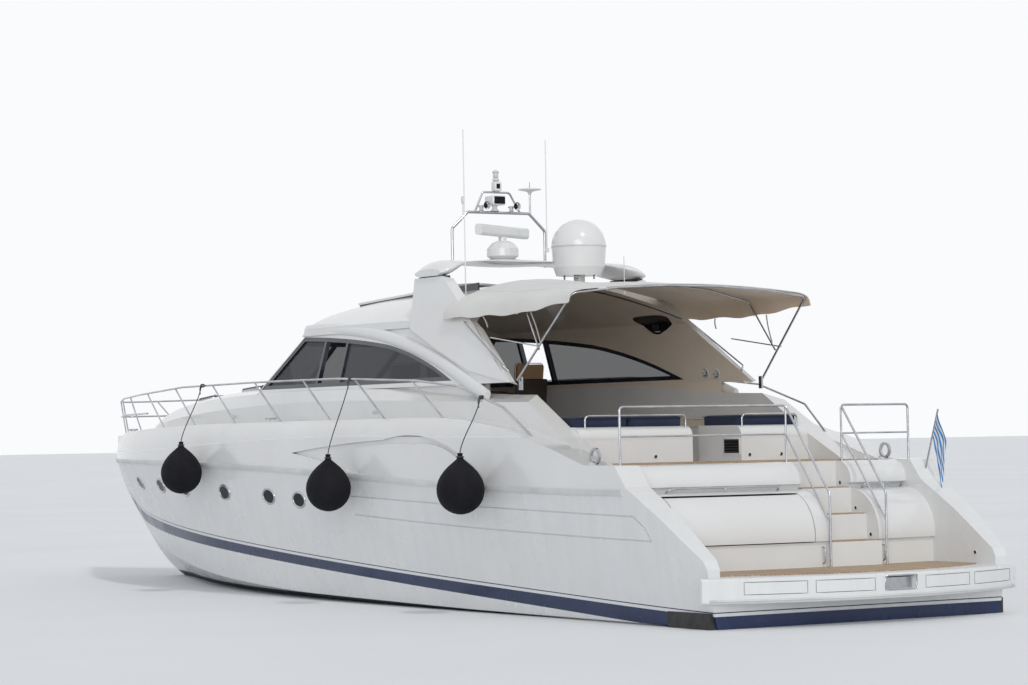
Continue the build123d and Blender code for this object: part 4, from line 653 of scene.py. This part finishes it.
# Canopy: one cloth over both bows, tight at its hems and sagging between the bows.
# Each section gives x, half width, low edge, shoulder and crown.
canopy_sections = [
    (6.985, 1.790, 3.660, 1.745, 3.870, 4.225),
    (5.800, 1.810, 3.650, 1.770, 3.880, 4.150),
    (4.900, 1.820, 3.640, 1.785, 3.890, 4.075),
    (3.735, 1.830, 3.740, 1.800, 3.890, 3.990),
]
leg_foot = (4.850, 2.740)
leg_slope = 1.44928
canopy_corner_x = 6.70
canopy_front_x = 6.965
canopy_aft_x = 3.738
canopy_aft_bow = 0.03
bow_places = (3.760, 4.900)
skirt_share = 0.14


def canopy_section(x):
    """Half width, low edge, shoulder and crown at a place along the boat."""
    for front, back in zip(canopy_sections, canopy_sections[1:]):
        if x >= back[0]:
            share = min(1, (x - back[0]) / (front[0] - back[0]))
            return [b + (f - b) * share for f, b in zip(front, back)][1:]
    return canopy_sections[-1][1:]


def arch_point(x, v):
    """Point of the cloth: v runs from the port hem at -1 to the starboard hem at 1."""
    half, low_z, shoulder_y, shoulder_z, crown_z = canopy_section(x)
    out = abs(v)
    shoulder = 1 - skirt_share
    if out > shoulder:
        t = (out - shoulder) / skirt_share
        y = shoulder_y + (half - shoulder_y) * t
        z = shoulder_z + (low_z - shoulder_z) * t
    else:
        t = out / shoulder
        y = shoulder_y * t
        z = shoulder_z + (crown_z - shoulder_z) * (1 - t ** 2)
    # The shoulder is rolled, not creased
    roll = max(0, 1 - abs(out - shoulder) / 0.09)
    y -= 0.030 * roll ** 2
    z -= 0.022 * roll ** 2
    return Vector((x, -y if v > 0 else y, z))


def front_edge(v):
    """Where the cloth starts: on the roof's aft edge, or at the leg for the side hems."""
    if abs(v) > 0.88:
        return canopy_corner_x
    x = 6.9
    for k in range(8):
        x = leg_foot[0] + leg_slope * (arch_point(x, v).z - leg_foot[1])
    edge = min(x, canopy_front_x)
    lead = min(1, max(0, (abs(v) - 0.80) / 0.08))
    return edge + (canopy_corner_x - edge) * lead


def sag(x, v):
    """How far the cloth hangs in between its supports."""
    depth = 0
    for low, high, deep in ((*bow_places, 0.020), (bow_places[1], front_edge(v), 0.034)):
        if low < x < high:
            depth = deep * sin(pi * (x - low) / (high - low))
    return depth * max(0, 1 - (abs(v) / 0.97) ** 6)


def wrinkle(x, v):
    """Tension creases that run down from the shoulder and across the hems."""
    near_edge = max(0, (abs(v) - 0.55) / 0.45)
    crease = sin(9.5 * x + 5.0 * v + 1.3 * sin(4.0 * x)) * 0.0045 + sin(21 * x - 9 * v) * 0.002
    fan = sin(34 * v + 2.2 * x) * 0.0025 * max(0, 1 - abs(x - bow_places[0]) / 0.8)
    return near_edge * crease + fan


def folds_with_bow(piece):
    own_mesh(piece)


rows, columns = 84, 96
cloth_points = []
for i in range(rows + 1):
    for j in range(columns + 1):
        v = -1 + 2 * j / columns
        start_x = front_edge(v)
        x = start_x + (canopy_aft_x + canopy_aft_bow * (1 - v ** 2) - start_x) * i / rows
        point = arch_point(x, v)
        point.z -= sag(x, v)
        outward = Vector((0, point.y * 0.9, point.z - 2.6)).normalized()
        crease = wrinkle(x, v)
        point -= outward * (0.004 + max(0, -crease) + max(0, crease) * 0.4)
        # Hem scallops between its ties
        if abs(v) > 0.93:
            point.z += 0.012 * (1 - cos(2 * pi * (x - canopy_aft_x) / 0.74)) * (abs(v) - 0.93) / 0.07
        cloth_points.append(point)
canopy = add_mesh("canopy_cloth", cloth_points, grid_faces(rows, columns), canvas_white)
# The underside and rim take the tan copy of the canvas, which is painted shade
canopy.data.materials.append(canvas_shaded_tan)
for face in canopy.data.polygons:
    if face.normal.z < 0:
        face.flip()
canopy.data.update()
thick = canopy.modifiers.new("cloth", "SOLIDIFY")
thick.thickness = 0.003
thick.offset = -1
thick.material_offset = thick.material_offset_rim = 1
refine(canopy)
folds_with_bow(keep(canopy))
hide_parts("canopy")

# Welts over the seams and a cord in the hem
for number, v in enumerate((-0.60, -0.22, 0.22, 0.60)):
    start_x = front_edge(v)
    run = []
    for k in range(41):
        x = start_x + (3.765 - start_x) * k / 40
        run.append(arch_point(x, v) - upward * (sag(x, v) + 0.0035))
    folds_with_bow(pipe(f"canopy_welt_{number}", run, 0.0035, canvas_white, bend=0.001,
                        sides=6))
for number, (hem_x, bow, radius) in enumerate(((3.744, canopy_aft_bow, 0.006), (4.900, 0, 0.004))):
    across = [-0.995 + 1.99 * k / 64 for k in range(65)]
    run = [arch_point(hem_x + bow * (1 - v ** 2), v) - upward * 0.0055 for v in across]
    folds_with_bow(pipe(f"canopy_hem_{number}", run, radius, canvas_white, bend=0.001,
                        sides=8))

# Flat straps from the canopy's second bow to its side hems
straps = ((4.62, 3.66, 4.47, 3.30), (5.72, 3.66, 5.66, 3.52))
strap_section = ((-0.012, -0.001), (0.012, -0.001), (0.012, 0.001), (-0.012, 0.001))
for s, label in both_sides:
    for number, (x_top, z_top, x_low, z_low) in enumerate(straps):
        points, count = [], 10
        for k in range(count + 1):
            t = k / count
            y = s * (1.800 - 0.03 * t - 0.012 * sin(pi * t))
            place = Vector((x_top + (x_low - x_top) * t, y, z_top + (z_low - z_top) * t))
            points += [place + Vector((dx, dy, 0)) for dx, dy in strap_section]
        strap = add_mesh(f"canopy_strap_{label}_{number}", points, ring_faces(count + 1, 4), webbing,
                         smooth=False)
        folds_with_bow(keep(strap))

# Ensign that hangs from its staff in soft folds
staff_head = Vector((1.790, -2.200, 2.400))
staff_foot = Vector((2.050, -2.170, 1.560))
staff_run = (staff_foot - staff_head).normalized()
cloth_points, places = [], []
rows, columns = 26, 44
for i in range(rows + 1):
    for j in range(columns + 1):
        h, f = i / rows, j / columns
        hoist = staff_head + staff_run * (0.035 + 0.30 * h)
        fold = sin(9 * f + 5.5 * h) * 0.012 * min(1, f * 4) + sin(15 * f - 8 * h + 1) * 0.005 * min(1, f * 3)
        lean = 0.13 * (1 - h) * sin(min(1, f * 1.6) * pi / 2) + 0.17 * h * f - 0.015 * sin(7 * f + 3 * h)
        sleeve = 0.011 if j == 0 else 0
        drop = f * (0.60 + 0.05 * h)
        cloth_points.append((hoist.x - lean - sleeve, hoist.y + fold + 0.004, hoist.z - drop))
        places += [h, f, 0]
ensign = add_mesh("ensign_flag", cloth_points, grid_faces(rows, columns), ensign_cloth)
ensign.data.attributes.new("cloth_place", "FLOAT_VECTOR", "POINT").data.foreach_set("vector", places)
keep(ensign)
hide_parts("ensign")

# Cushions: pads that swell under cloth simulation, with piping and sewn channels
pad_swell = 0.014
pad_shrink = 0.010
channel_depth = 0.016
channel_width = 0.03


def swollen(obj):
    """Points of a closed form after pressure has filled it like a cushion."""
    settings = obj.modifiers.new("swell", "CLOTH").settings
    settings.quality = 5
    settings.mass = 0.3
    settings.tension_stiffness = settings.compression_stiffness = 12
    settings.shear_stiffness = 6
    settings.bending_stiffness = 0.6
    settings.use_pressure = True
    settings.uniform_pressure_force = 4
    settings.effector_weights.gravity = 0
    for step in range(1, 21):
        scene.frame_set(step)
    graph = bpy.context.evaluated_depsgraph_get()
    mesh = bpy.data.meshes.new_from_object(obj.evaluated_get(graph))
    obj.modifiers.clear()
    scene.frame_set(1)
    return [v.co.copy() for v in mesh.vertices]


def pad(name, low, high, material, channels, channel_axis=0, spacing=0.035, turn=None, about=None):
    """Upholstered pad between two corners, crowned on top and drawn in at its sides."""
    low, high = Vector(low), Vector(high)
    size = high - low
    middle = (low + high) / 2
    across, along, tall = [max(2, round(length / spacing)) for length in size]
    points, index, faces = [], {}, []

    def quad(*corners):
        """Face between four grid places, each with one point."""
        for i, j, k in corners:
            if (i, j, k) not in index:
                index[i, j, k] = len(points)
                points.append(Vector((low.x + pad_shrink + (size.x - 2 * pad_shrink) * (i / across),
                                      low.y + pad_shrink + (size.y - 2 * pad_shrink) * (j / along),
                                      low.z + (size.z - pad_shrink) * (k / tall))))
        faces.append(tuple(index[corner] for corner in corners))

    for i in range(across):
        for j in range(along):
            quad((i, j, 0), (i, j + 1, 0), (i + 1, j + 1, 0), (i + 1, j, 0))
            quad((i, j, tall), (i + 1, j, tall), (i + 1, j + 1, tall), (i, j + 1, tall))
    for i in range(across):
        for k in range(tall):
            quad((i, 0, k), (i + 1, 0, k), (i + 1, 0, k + 1), (i, 0, k + 1))
            quad((i, along, k), (i, along, k + 1), (i + 1, along, k + 1), (i + 1, along, k))
    for j in range(along):
        for k in range(tall):
            quad((0, j, k), (0, j, k + 1), (0, j + 1, k + 1), (0, j + 1, k))
            quad((across, j, k), (across, j + 1, k), (across, j + 1, k + 1), (across, j, k + 1))
    # Corners in plan are rounded before the pad swells
    corner = min(0.05, size.x / 4, size.y / 4)
    for p in points:
        dx = abs(p.x - middle.x) - (size.x / 2 - corner)
        dy = abs(p.y - middle.y) - (size.y / 2 - corner)
        if dx > 0 and dy > 0:
            longest, diagonal = max(dx, dy), hypot(dx, dy)
            p.x += (dx * longest / diagonal - dx) * (1 if p.x > middle.x else -1)
            p.y += (dy * longest / diagonal - dy) * (1 if p.y > middle.y else -1)
    obj = add_mesh(name, points, faces, material)
    rest = [v.co.copy() for v in obj.data.vertices]
    moved = swollen(obj)
    pitch = size[channel_axis] / channels
    for vertex, before, after in zip(obj.data.vertices, rest, moved):
        step = after - before
        if step.length > pad_swell:
            step = step.normalized() * pad_swell
        place = before + step
        share = (place[channel_axis] - low[channel_axis]) / pitch
        near = abs(share - round(share)) * pitch
        if 0.5 < share < channels - 0.5 and near < channel_width:
            top = max(0, (place.z - low.z) / size.z - 0.4) / 0.6
            place.z -= channel_depth * (1 - near / channel_width) * top
        place.z = min(max(place.z, low.z), high.z + pad_swell)
        vertex.co = place
    refine(obj)
    if turn:
        turn_about(obj, turn, about)
    keep(obj)
    # Piping round the top edge
    path = []
    inset, count = 0.004, 6
    bend = corner - inset
    for quarter, (cx, cy) in enumerate(((1, 1), (-1, 1), (-1, -1), (1, -1))):
        for k in range(count + 1):
            a = (quarter + k / count) * pi / 2
            path.append((middle.x + cx * (size.x / 2 - corner - inset) + bend * cos(a),
                         middle.y + cy * (size.y / 2 - corner - inset) + bend * sin(a), high.z - 0.016))
    bead = pipe(f"{name}_piping", path, 0.0055, material, sides=8, closed=True)
    if turn:
        turn_about(bead, turn, about)
    return obj


locker_top = 2.2503
settee_top = 2.2303
pad_height = 0.125
for name, y0, y1 in (("port_out", 0.90, 1.68), ("port_in", 0.09, 0.89), ("stbd", -1.68, -0.71)):
    piece = pad(f"aft_pad_{name}", (3.85, y0, locker_top), (4.60, y1, locker_top + pad_height), sunpad_navy,
                3)
    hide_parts("cockpit_cushions")
for s, label in both_sides:
    for number, (x0, x1) in enumerate(((5.02, 5.865), (5.875, 6.72), (6.73, 7.58))):
        y0, y1 = sorted((s * 1.14, s * 1.64))
        pad(f"settee_{label}_{number}", (x0, y0, settee_top), (x1, y1, settee_top + pad_height),
            cream_leather, 3)

# Helm seats: dark shells with tan base and back pads
sole = 1.8
back_lean = 6.5
back_tilt = Matrix.Rotation(radians(-back_lean), 4, "Y")
upright = Matrix.Rotation(radians(90 - back_lean), 4, "Y")
for number, (x, y) in enumerate(((9.25, -1.0), (9.25, 1.0), (8.30, 1.0))):
    pivot = (x - 0.21, y, sole + 0.72)
    base = rounded_block(f"seat_pan_{number}", (x - 0.25, y - 0.27, sole + 0.6403),
                         (x + 0.27, y + 0.27, sole + 0.70), 0.02, seat_shell)
    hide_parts("helm_seats")
    pad(f"seat_base_{number}", (x - 0.16, y - 0.25, sole + 0.70), (x + 0.28, y + 0.25, sole + 0.79),
        tan_leather, 3, channel_axis=1, spacing=0.03)
    rounded_block(f"seat_back_shell_{number}", (x - 0.285, y - 0.26, sole + 0.70),
                  (x - 0.235, y + 0.26, sole + 1.16), 0.022, seat_shell, turn=back_tilt,
                  about=pivot)
    # The back pad is made lying down, then stood up on the shell
    pad(f"seat_back_{number}", (x - 0.87, y - 0.24, sole + 0.695), (x - 0.23, y + 0.24, sole + 0.765),
        tan_leather, 4, channel_axis=1, spacing=0.03, turn=upright, about=pivot)

# Helm: blank screens, gauges and throttles
wheel_tilt = radians(25)
face_up = Vector((sin(wheel_tilt), 0, cos(wheel_tilt)))
face_out = Vector((-cos(wheel_tilt), 0, sin(wheel_tilt)))
console_foot = Vector((10.350, 0, 2.480))


def on_console(y, up, out=0.0):
    return Vector((console_foot.x, y, console_foot.z)) + face_up * up + face_out * out


for number, (y0, y1) in enumerate(((-0.72, -0.40), (-1.60, -1.28))):
    points = []
    for out, inset in ((-0.004, 0), (0.012, 0.004)):
        low, high = 0.04 + inset, 0.27 - inset
        for y, up in ((y0 + inset, low), (y1 - inset, low), (y1 - inset, high), (y0 + inset, high)):
            points.append(on_console(y, up, out))
    faces = [(0, 1, 2, 3), (7, 6, 5, 4), (0, 4, 5, 1), (1, 5, 6, 2), (2, 6, 7, 3), (3, 7, 4, 0)]
    screen = add_mesh(f"helm_screen_{number}", points, faces, black_gloss, smooth=False)
    round_edges(screen, 0.003)
    keep(screen)
for number, y in enumerate((-1.23, -1.13, -0.87, -0.77)):
    place = on_console(y, 0.235)
    lathe(f"gauge_rim_{number}", [(0.036, -0.004), (0.038, 0.008), (0.033, 0.012), (0.031, 0.006),
                                  (0.0, 0.006)], place, stainless, axis=face_out, sides=24)
    lathe(f"gauge_face_{number}", [(0.031, 0.004), (0.031, 0.0075), (0.0, 0.0078)], place, black_gloss,
          axis=face_out, sides=24)
for number, y in enumerate((-0.60, -0.54)):
    head = on_console(y, 0.05, 0.10)
    pipe(f"throttle_{number}", [on_console(y, 0.02, 0.0), head], 0.008, stainless)
    lathe(f"throttle_knob_{number}", [(0.010, -0.02), (0.018, 0.0), (0.016, 0.018), (0.0, 0.024)], head,
          rubber, axis=face_out, sides=16)

# Mast fittings: whip lamp, receiver, masthead lamp, camera, searchlight and two horns
mast_x = 8.15
mast_top = 5.18
hoop_top = 5.455


def turned_fitting(name, profile, y, z, material, sides=32):
    return lathe(name, profile, (mast_x, y, z), material, sides=sides)


def boxed_fitting(name, x_ends, y_ends, z_ends, round_off, material, segments=3):
    low, high = zip(x_ends, y_ends, z_ends)
    rounded_block(name, (mast_x + low[0], *low[1:]), (mast_x + high[0], *high[1:]), round_off, material,
                  segments)


whip_lamp = turned_fitting("whip_lamp", [(0.0, 0.0), (0.022, 0.0), (0.026, 0.012), (0.020, 0.016),
                                         (0.024, 0.025), (0.026, 0.080), (0.020, 0.096), (0.0, 0.100)],
                           0.560, mast_top + 0.110, lamp_lens)
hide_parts("mast_fittings")
turned_fitting("receiver_disc", [(0.0, 0.0), (0.020, 0.0), (0.024, 0.018), (0.034, 0.034), (0.060, 0.046),
                                 (0.120, 0.056), (0.156, 0.064), (0.160, 0.072), (0.150, 0.079),
                                 (0.09, 0.088), (0.0, 0.092)], -0.510, mast_top + 0.260, gelcoat)
turned_fitting("receiver_whip", [(0.004, 0.0), (0.003, 0.08), (0.0, 0.085)], -0.510, mast_top + 0.350, rubber,
               sides=8)
masthead_z = hoop_top + 0.150
turned_fitting("masthead_lamp_base", [(0.030, 0.0), (0.046, 0.004), (0.048, 0.030), (0.030, 0.038),
                                      (0.030, 0.05)], 0.035, masthead_z, pale_grey)
turned_fitting("masthead_lamp", [(0.034, 0.05), (0.036, 0.052), (0.036, 0.110), (0.034, 0.114)], 0.035,
               masthead_z, lamp_lens)
turned_fitting("masthead_lamp_cap", [(0.044, 0.114), (0.048, 0.122), (0.044, 0.134), (0.020, 0.150),
                                     (0.0, 0.156)], 0.035, masthead_z, pale_grey)
boxed_fitting("mast_camera", (-0.05, 0.05), (-0.030, 0.080), (hoop_top + 0.018, hoop_top + 0.145), 0.012,
              gelcoat)
boxed_fitting("mast_camera_eye", (-0.056, -0.049), (0.000, 0.056), (hoop_top + 0.050, hoop_top + 0.115),
              0.004, black_gloss)
turned_fitting("searchlight_foot", [(0.0, 0.0), (0.060, 0.0), (0.062, 0.010), (0.036, 0.028), (0.034, 0.060),
                                    (0.060, 0.085), (0.060, 0.095), (0.0, 0.10)], 0.060, mast_top + 0.020,
               gelcoat)
boxed_fitting("searchlight", (-0.130, 0.100), (-0.045, 0.165), (mast_top + 0.095, mast_top + 0.228), 0.028,
              gelcoat, segments=4)
boxed_fitting("searchlight_glass", (-0.138, -0.126), (-0.025, 0.145), (mast_top + 0.112, mast_top + 0.212),
              0.006, black_gloss)
for y, label in ((0.265, "port"), (-0.215, "stbd")):
    horn_foot = (mast_x + 0.070, y, mast_top + 0.085)
    lathe(f"horn_{label}", [(0.014, 0.0), (0.016, 0.08), (0.020, 0.13), (0.032, 0.175), (0.052, 0.205),
                            (0.056, 0.208), (0.050, 0.203), (0.028, 0.17), (0.0, 0.12)],
          horn_foot, stainless, axis=-forward)
    # Black disc in the bell's throat: painted shade
    lathe(f"horn_throat_{label}", [(0.0, 0.168), (0.030, 0.172), (0.0, 0.173)], horn_foot, black_gloss,
          axis=-forward)
    boxed_fitting(f"horn_bracket_{label}", (-0.020, 0.040), (y - 0.018, y + 0.018),
                  (mast_top + 0.012, mast_top + 0.080), 0.005, stainless)

# Bases of the bow rail's posts, where the posts meet the deck
hull_length = 20.270
post_pitch = 0.0705 * hull_length
first_post_x = 5.870
post_base = [(0.036, -0.004), (0.037, 0.004), (0.030, 0.009), (0.017, 0.012), (0.015, 0.020), (0.0, 0.020)]
for i in range(10):
    x = first_post_x + post_pitch * i
    for s, label in both_sides:
        place = cast("bow_rail", (x + 0.066, s * 6, 2.48), (0, -s, 0))[0]
        if place is None:
            continue
        ground = cast("deck", (place.x - 0.02, place.y - s * 0.012, 3.2), -upward)[0]
        if ground is not None and ground.z > 2.2:
            lathe(f"post_base_{label}_{i}", post_base, ground, stainless, sides=20)

# Grab rails on the transom ledges
ledge_z = 1.475
transom_x = 1.490
transom_radius = 12.500


def transom_line(y, back):
    """Place on the bowed transom at a distance behind its aft edge."""
    radius = transom_radius - back
    return transom_x + transom_radius - sqrt(radius ** 2 - y ** 2)


def over_ledge(y, back, up):
    return Vector((transom_line(y, back), y, ledge_z + up))


for label, y0, y1 in (("port", 1.62, 0.10), ("stbd", -1.22, -1.88)):
    spread = [y0 + (y1 - y0) * (0.06 + 0.88 * k / 14) for k in range(15)]
    run = [over_ledge(y0, 0.52, -0.005), over_ledge(y0, 0.475, 0.03),
           *(over_ledge(y, 0.47, 0.048) for y in spread),
           over_ledge(y1, 0.475, 0.03), over_ledge(y1, 0.52, -0.005)]
    pipe(f"ledge_rail_{label}", run, 0.010, stainless, bend=0.02)
    middle_y = (y0 + y1) / 2
    pipe(f"ledge_rail_post_{label}", [over_ledge(middle_y, 0.47, 0.046), over_ledge(middle_y, 0.475, -0.02)],
         0.008, stainless)

# Grab handles beside the stairs
for label, y in (("port", -0.19), ("stbd", -1.13)):
    x = transom_line(y, 0.05) + 0.003
    pipe(f"stair_handle_{label}", [(x, y, 0.62), (x - 0.045, y, 0.63), (x - 0.045, y, 0.80), (x, y, 0.81)],
         0.009, stainless, bend=0.03)

# Small round courtesy lights: on the stairs, at the platform and on the lockers' aft faces
stair_lights = ((2.249, 1.538), (1.965, 1.240), (1.695, 0.929))
courtesy = [((x, y, z), way) for y, way in ((-1.040, to_port), (-0.280, -to_port)) for x, z in stair_lights]
courtesy += [((0.949, -s * 2.000, 0.702), to_port * s) for s, label in both_sides]
courtesy += [((3.720, y, 1.883), -forward) for y in (0.617, -0.807, -1.300)]
for number, (place, way) in enumerate(courtesy):
    lathe(f"light_rim_{number}", [(0.024, -0.003), (0.025, 0.004), (0.020, 0.007), (0.017, 0.003),
                                  (0.0, 0.003)], place, stainless, axis=way, sides=20)
    lathe(f"light_eye_{number}", [(0.017, 0.001), (0.017, 0.0045), (0.0, 0.005)], place, black_gloss,
          axis=way, sides=16)


def louvre(name, x_ends, z_ends, y_low, y_high, thickness, material, round_off=0.0):
    """Four-sided plate that faces port, upright or leaning."""
    (x0, x1), (z0, z1) = x_ends, z_ends
    outline = [(x0, y_low, z0), (x0, y_high, z1), (x1, y_high, z1), (x1, y_low, z0)]
    flat_shape(name, outline, thickness, material, round_off)


# Vent in the starboard locker's end; the black plate behind the slats is painted shade in its opening
vent_y = -0.680
x0, x1, z0, z1 = 3.76, 4.06, 1.905, 2.075
vent_rim = 0.022
louvre("locker_vent_rim", (x0 - vent_rim, x1 + vent_rim), (z0 - vent_rim, z1 + vent_rim), vent_y, vent_y,
       0.008, gelcoat, 0.004)
# Black plate: painted shade in the vent's opening
louvre("locker_vent", (x0, x1), (z0, z1), vent_y + 0.006, vent_y + 0.006, 0.004, black_gloss)
for k in range(5):
    z = z0 + (z1 - z0) * (k + 0.5) / 5
    louvre(f"locker_vent_slat_{k}", (x0 + 0.01, x1 - 0.01), (z - 0.009, z + 0.005), vent_y + 0.009,
           vent_y + 0.012, 0.003, rubber)

# Recess drawn as a black sheet of painted shade, speaker and round vents on the inside of the arch legs
recess_corners = [Vector(p) for p in ((7.28, 3.73), (6.34, 3.74), (6.44, 3.61), (6.79, 3.45))]
recess_centre = Vector((6.75, 3.62))
for step in range(3):
    cut = []
    for corner, after in zip(recess_corners, recess_corners[1:] + recess_corners[:1]):
        cut += [corner.lerp(after, 0.2), corner.lerp(after, 0.8)]
    recess_corners = cut
recess_rows = ((1.0, -0.004), (1.0, 0.008), (0.97, 0.008), (0.6, 0.008), (0.3, 0.008), (0.02, 0.008))
for s, label in both_sides:
    places = []
    for share, lift in recess_rows:
        for corner in recess_corners:
            spot = recess_centre.lerp(corner, share)
            places.append(cast("hardtop", (spot.x, 0, spot.y), (0, s, 0))[0] - to_port * s * lift)
    # The black sheet is painted shade inside the recess
    keep(add_mesh(f"leg_recess_shade_{label}", places, ring_faces(len(recess_rows), len(recess_corners)),
                  black_gloss))
    place = cast("hardtop", (6.80, 0, 3.60), (0, s, 0))[0] - to_port * s * 0.008
    way = (0, -s * 0.976, -0.216)
    lathe(f"leg_speaker_{label}", [(0.070, 0.0), (0.074, 0.012), (0.064, 0.018), (0.050, 0.012),
                                   (0.020, 0.010), (0.016, 0.018), (0.0, 0.020)], place, rubber,
          axis=way)
    for number, (x, z) in enumerate(((5.92, 2.95), (5.69, 2.93))):
        place = cast("hardtop", (x, 0, z), (0, s, 0))[0]
        if place is None or abs(place.y) < 1.5:
            continue
        lathe(f"leg_vent_{label}_{number}", [(0.072, -0.004), (0.074, 0.006), (0.066, 0.010), (0.060, 0.006),
                                             (0.0, 0.006)], place, pale_grey, axis=way)
        # The vents' holes are black discs of painted shade
        for k, spot in enumerate(ring(place, forward, upward, 0.042, 6)):
            lathe(f"leg_vent_hole_{label}_{number}_{k}", [(0.011, 0.004), (0.011, 0.0075), (0.0, 0.0078)],
                  spot, black_gloss, axis=way, sides=10)

# Capping that joins the wheelhouse lining to the cockpit sides
capping = [(5.60, 1.795, 2.662), (6.00, 1.790, 2.678), (6.60, 1.785, 2.715), (7.20, 1.780, 2.762),
           (7.80, 1.775, 2.803), (8.40, 1.770, 2.818)]
capping_top = 2.835
for s, label in both_sides:
    points = []
    for x, y, z in capping:
        section = ((-0.012, z - 0.012), (-0.012, capping_top), (0.006, capping_top), (0.006, z - 0.012))
        points += [(x, s * (y + dy), up) for dy, up in section]
    strip = add_mesh(f"side_capping_{label}", points, ring_faces(len(capping), 4), hardtop_paint,
                     smooth=False)
    if s > 0:
        strip.data.flip_normals()
    keep(strip)

# Dark edge strip where the cloth meets the roof
edge = []
for k in range(45):
    y = -1.60 + 3.20 * k / 44
    z = 3.59 + 0.518 * (1 - (y / 1.735) ** 2)
    edge.append((leg_foot[0] + leg_slope * (z - leg_foot[1]) - 0.004, y, z))
pipe("roof_edge_strip", edge, 0.011, console_dark, bend=0.001, sides=8)

# Stainless frame round the passerelle's slot, fine panel lines and rub strip on the platform's edge
platform_corner = (0.560, 2.275)
platform_radius = (platform_corner[1] ** 2 + platform_corner[0] ** 2) / (2 * platform_corner[0])


def fascia_point(y, z, out):
    """Place on the platform's bowed aft face."""
    return Vector((platform_radius - sqrt(platform_radius ** 2 - y ** 2) - out, y, z))


def fascia_line(name, y0, y1, z0, z1, out, radius, material, sides):
    """Closed outline on the platform's aft face."""
    spread = [y0 + (y1 - y0) * k / 8 for k in range(9)]
    run = [fascia_point(y, z0, out) for y in spread] + [fascia_point(y, z1, out) for y in spread[::-1]]
    pipe(name, run, radius, material, sides=sides, closed=True)


slot_centre = (-0.070, 0.460)
slot_reach = (0.210 + 0.018, 0.068 + 0.010)
fascia_line("slot_frame", slot_centre[0] - slot_reach[0], slot_centre[0] + slot_reach[0],
            slot_centre[1] - slot_reach[1], slot_centre[1] + slot_reach[1], 0.001, 0.010, stainless,
            8)
for number, (y0, y1) in enumerate(((-2.10, -1.30), (-1.20, -0.44), (0.30, 1.05), (1.15, 1.85))):
    fascia_line(f"fascia_line_{number}", y0, y1, 0.385, 0.520, -0.001, 0.004, shadow_gap, 6)
rub = [fascia_point(-2.2 + 4.4 * k / 40, 0.320, 0.004) for k in range(41)]
pipe("platform_rub_strip", rub, 0.013, strake_white, bend=0.001, sides=8)

# Plates on the coachroof's side, band and foot bolts of the dome
for s, label in both_sides:
    for number, x in enumerate((12.43, 8.09)):
        place = cast("coachroof", (x, s * 4, 2.51), (0, -s, 0))[0]
        if place is not None:
            rounded_block(f"side_plate_{label}_{number}", (x - 0.11, place.y - 0.006, 2.485),
                          (x + 0.11, place.y + 0.006, 2.535), 0.004, pale_grey)
dome_x, dome_y = 7.040, -0.550
lathe("dome_band", [(0.366, 0.0), (0.3685, 0.003), (0.3685, 0.020), (0.366, 0.023)], (dome_x, dome_y, 4.650),
      pale_grey, sides=64)
for k in range(4):
    a = pi / 4 + pi / 2 * k
    lathe(f"dome_bolt_{k}", [(0.0, 0.0), (0.012, 0.0), (0.012, 0.05), (0.0, 0.052)],
          (dome_x + 0.20 * cos(a), dome_y + 0.20 * sin(a), 4.228), stainless, sides=12)

# Handles on the hatches
for name, x, size, z, fall in (("hatch_aft", 14.898, 0.60, 2.922, 3.6),
                               ("hatch_fwd", 16.500, 0.52, 2.806, 5.0)):
    slope = radians(fall)
    along = Vector((cos(slope), 0, -sin(slope)))
    up = Vector((sin(slope), 0, cos(slope)))
    top = Vector((x, 0, z - 0.12)) + up * 0.1783
    for label, y in (("stbd", -0.16), ("port", 0.16)):
        start = top + along * (0.05 - size / 2) + to_port * y
        end = start + along * 0.09
        pipe(f"{name}_handle_{label}", [start - up * 0.004, start + up * 0.016, end + up * 0.016,
                                        end - up * 0.004], 0.006, stainless, bend=0.012,
             body=f"{name}_part")

# Floor at the waterline and pale surroundings
reach = 600
floor_material, inputs, where = new_material("floor_pale")
floor_tone = ramp(noise(where, 0.15), (0.3, (0.80, 0.81, 0.82)), (0.7, (0.84, 0.85, 0.86)))
feed_all(inputs, {"Base Color": floor_tone, "Roughness": 0.7})
floor = add_mesh("floor", [(-reach, -reach, 0), (reach, -reach, 0), (reach, reach, 0), (-reach, reach, 0)],
                 [(0, 1, 2, 3)], floor_material, smooth=False)

# Soft light from the whole sky, which the camera and reflections see as a bright pale backdrop
world = bpy.data.worlds.new("world")
world.use_nodes = True
scene.world = world
tree = world.node_tree
background = tree.nodes["Background"]
feed_all(background.inputs, {"Color": (0.90, 0.94, 1.0), "Strength": 0.58})
backdrop = tree.nodes.new("ShaderNodeBackground")
feed_all(backdrop.inputs, {"Color": (0.955, 0.965, 0.98), "Strength": 1.0})
rays = tree.nodes.new("ShaderNodeLightPath").outputs
reflected = Value(rays["Is Glossy Ray"]).step("MAXIMUM", Value(rays["Is Transmission Ray"]))
direct = Value(rays["Is Camera Ray"]).step("MAXIMUM", reflected)
blend = add_node(direct, "ShaderNodeMixShader", 0)
feed(blend.inputs[1], Value(background.outputs[0]))
feed(blend.inputs[2], Value(backdrop.outputs[0]))
feed(tree.nodes["World Output"].inputs["Surface"], Value(blend.outputs[0]))
scene.view_settings.view_transform = "Standard"


def add_sun(name, energy, spread, rotation):
    data = bpy.data.lights.new(name, "SUN")
    data.energy = energy
    data.angle = radians(spread)
    add_object(name, data).rotation_euler = rotation
    return data


# Warm key light from high on the port side, and a low soft fill from behind the camera
add_sun("key", 0.75, 5, Euler((radians(40), 0, radians(-100)))).color = (1.0, 0.97, 0.92)
add_sun("fill", 1.0, 35, Vector((0.80, -0.57, -0.17)).to_track_quat("-Z", "Y").to_euler())
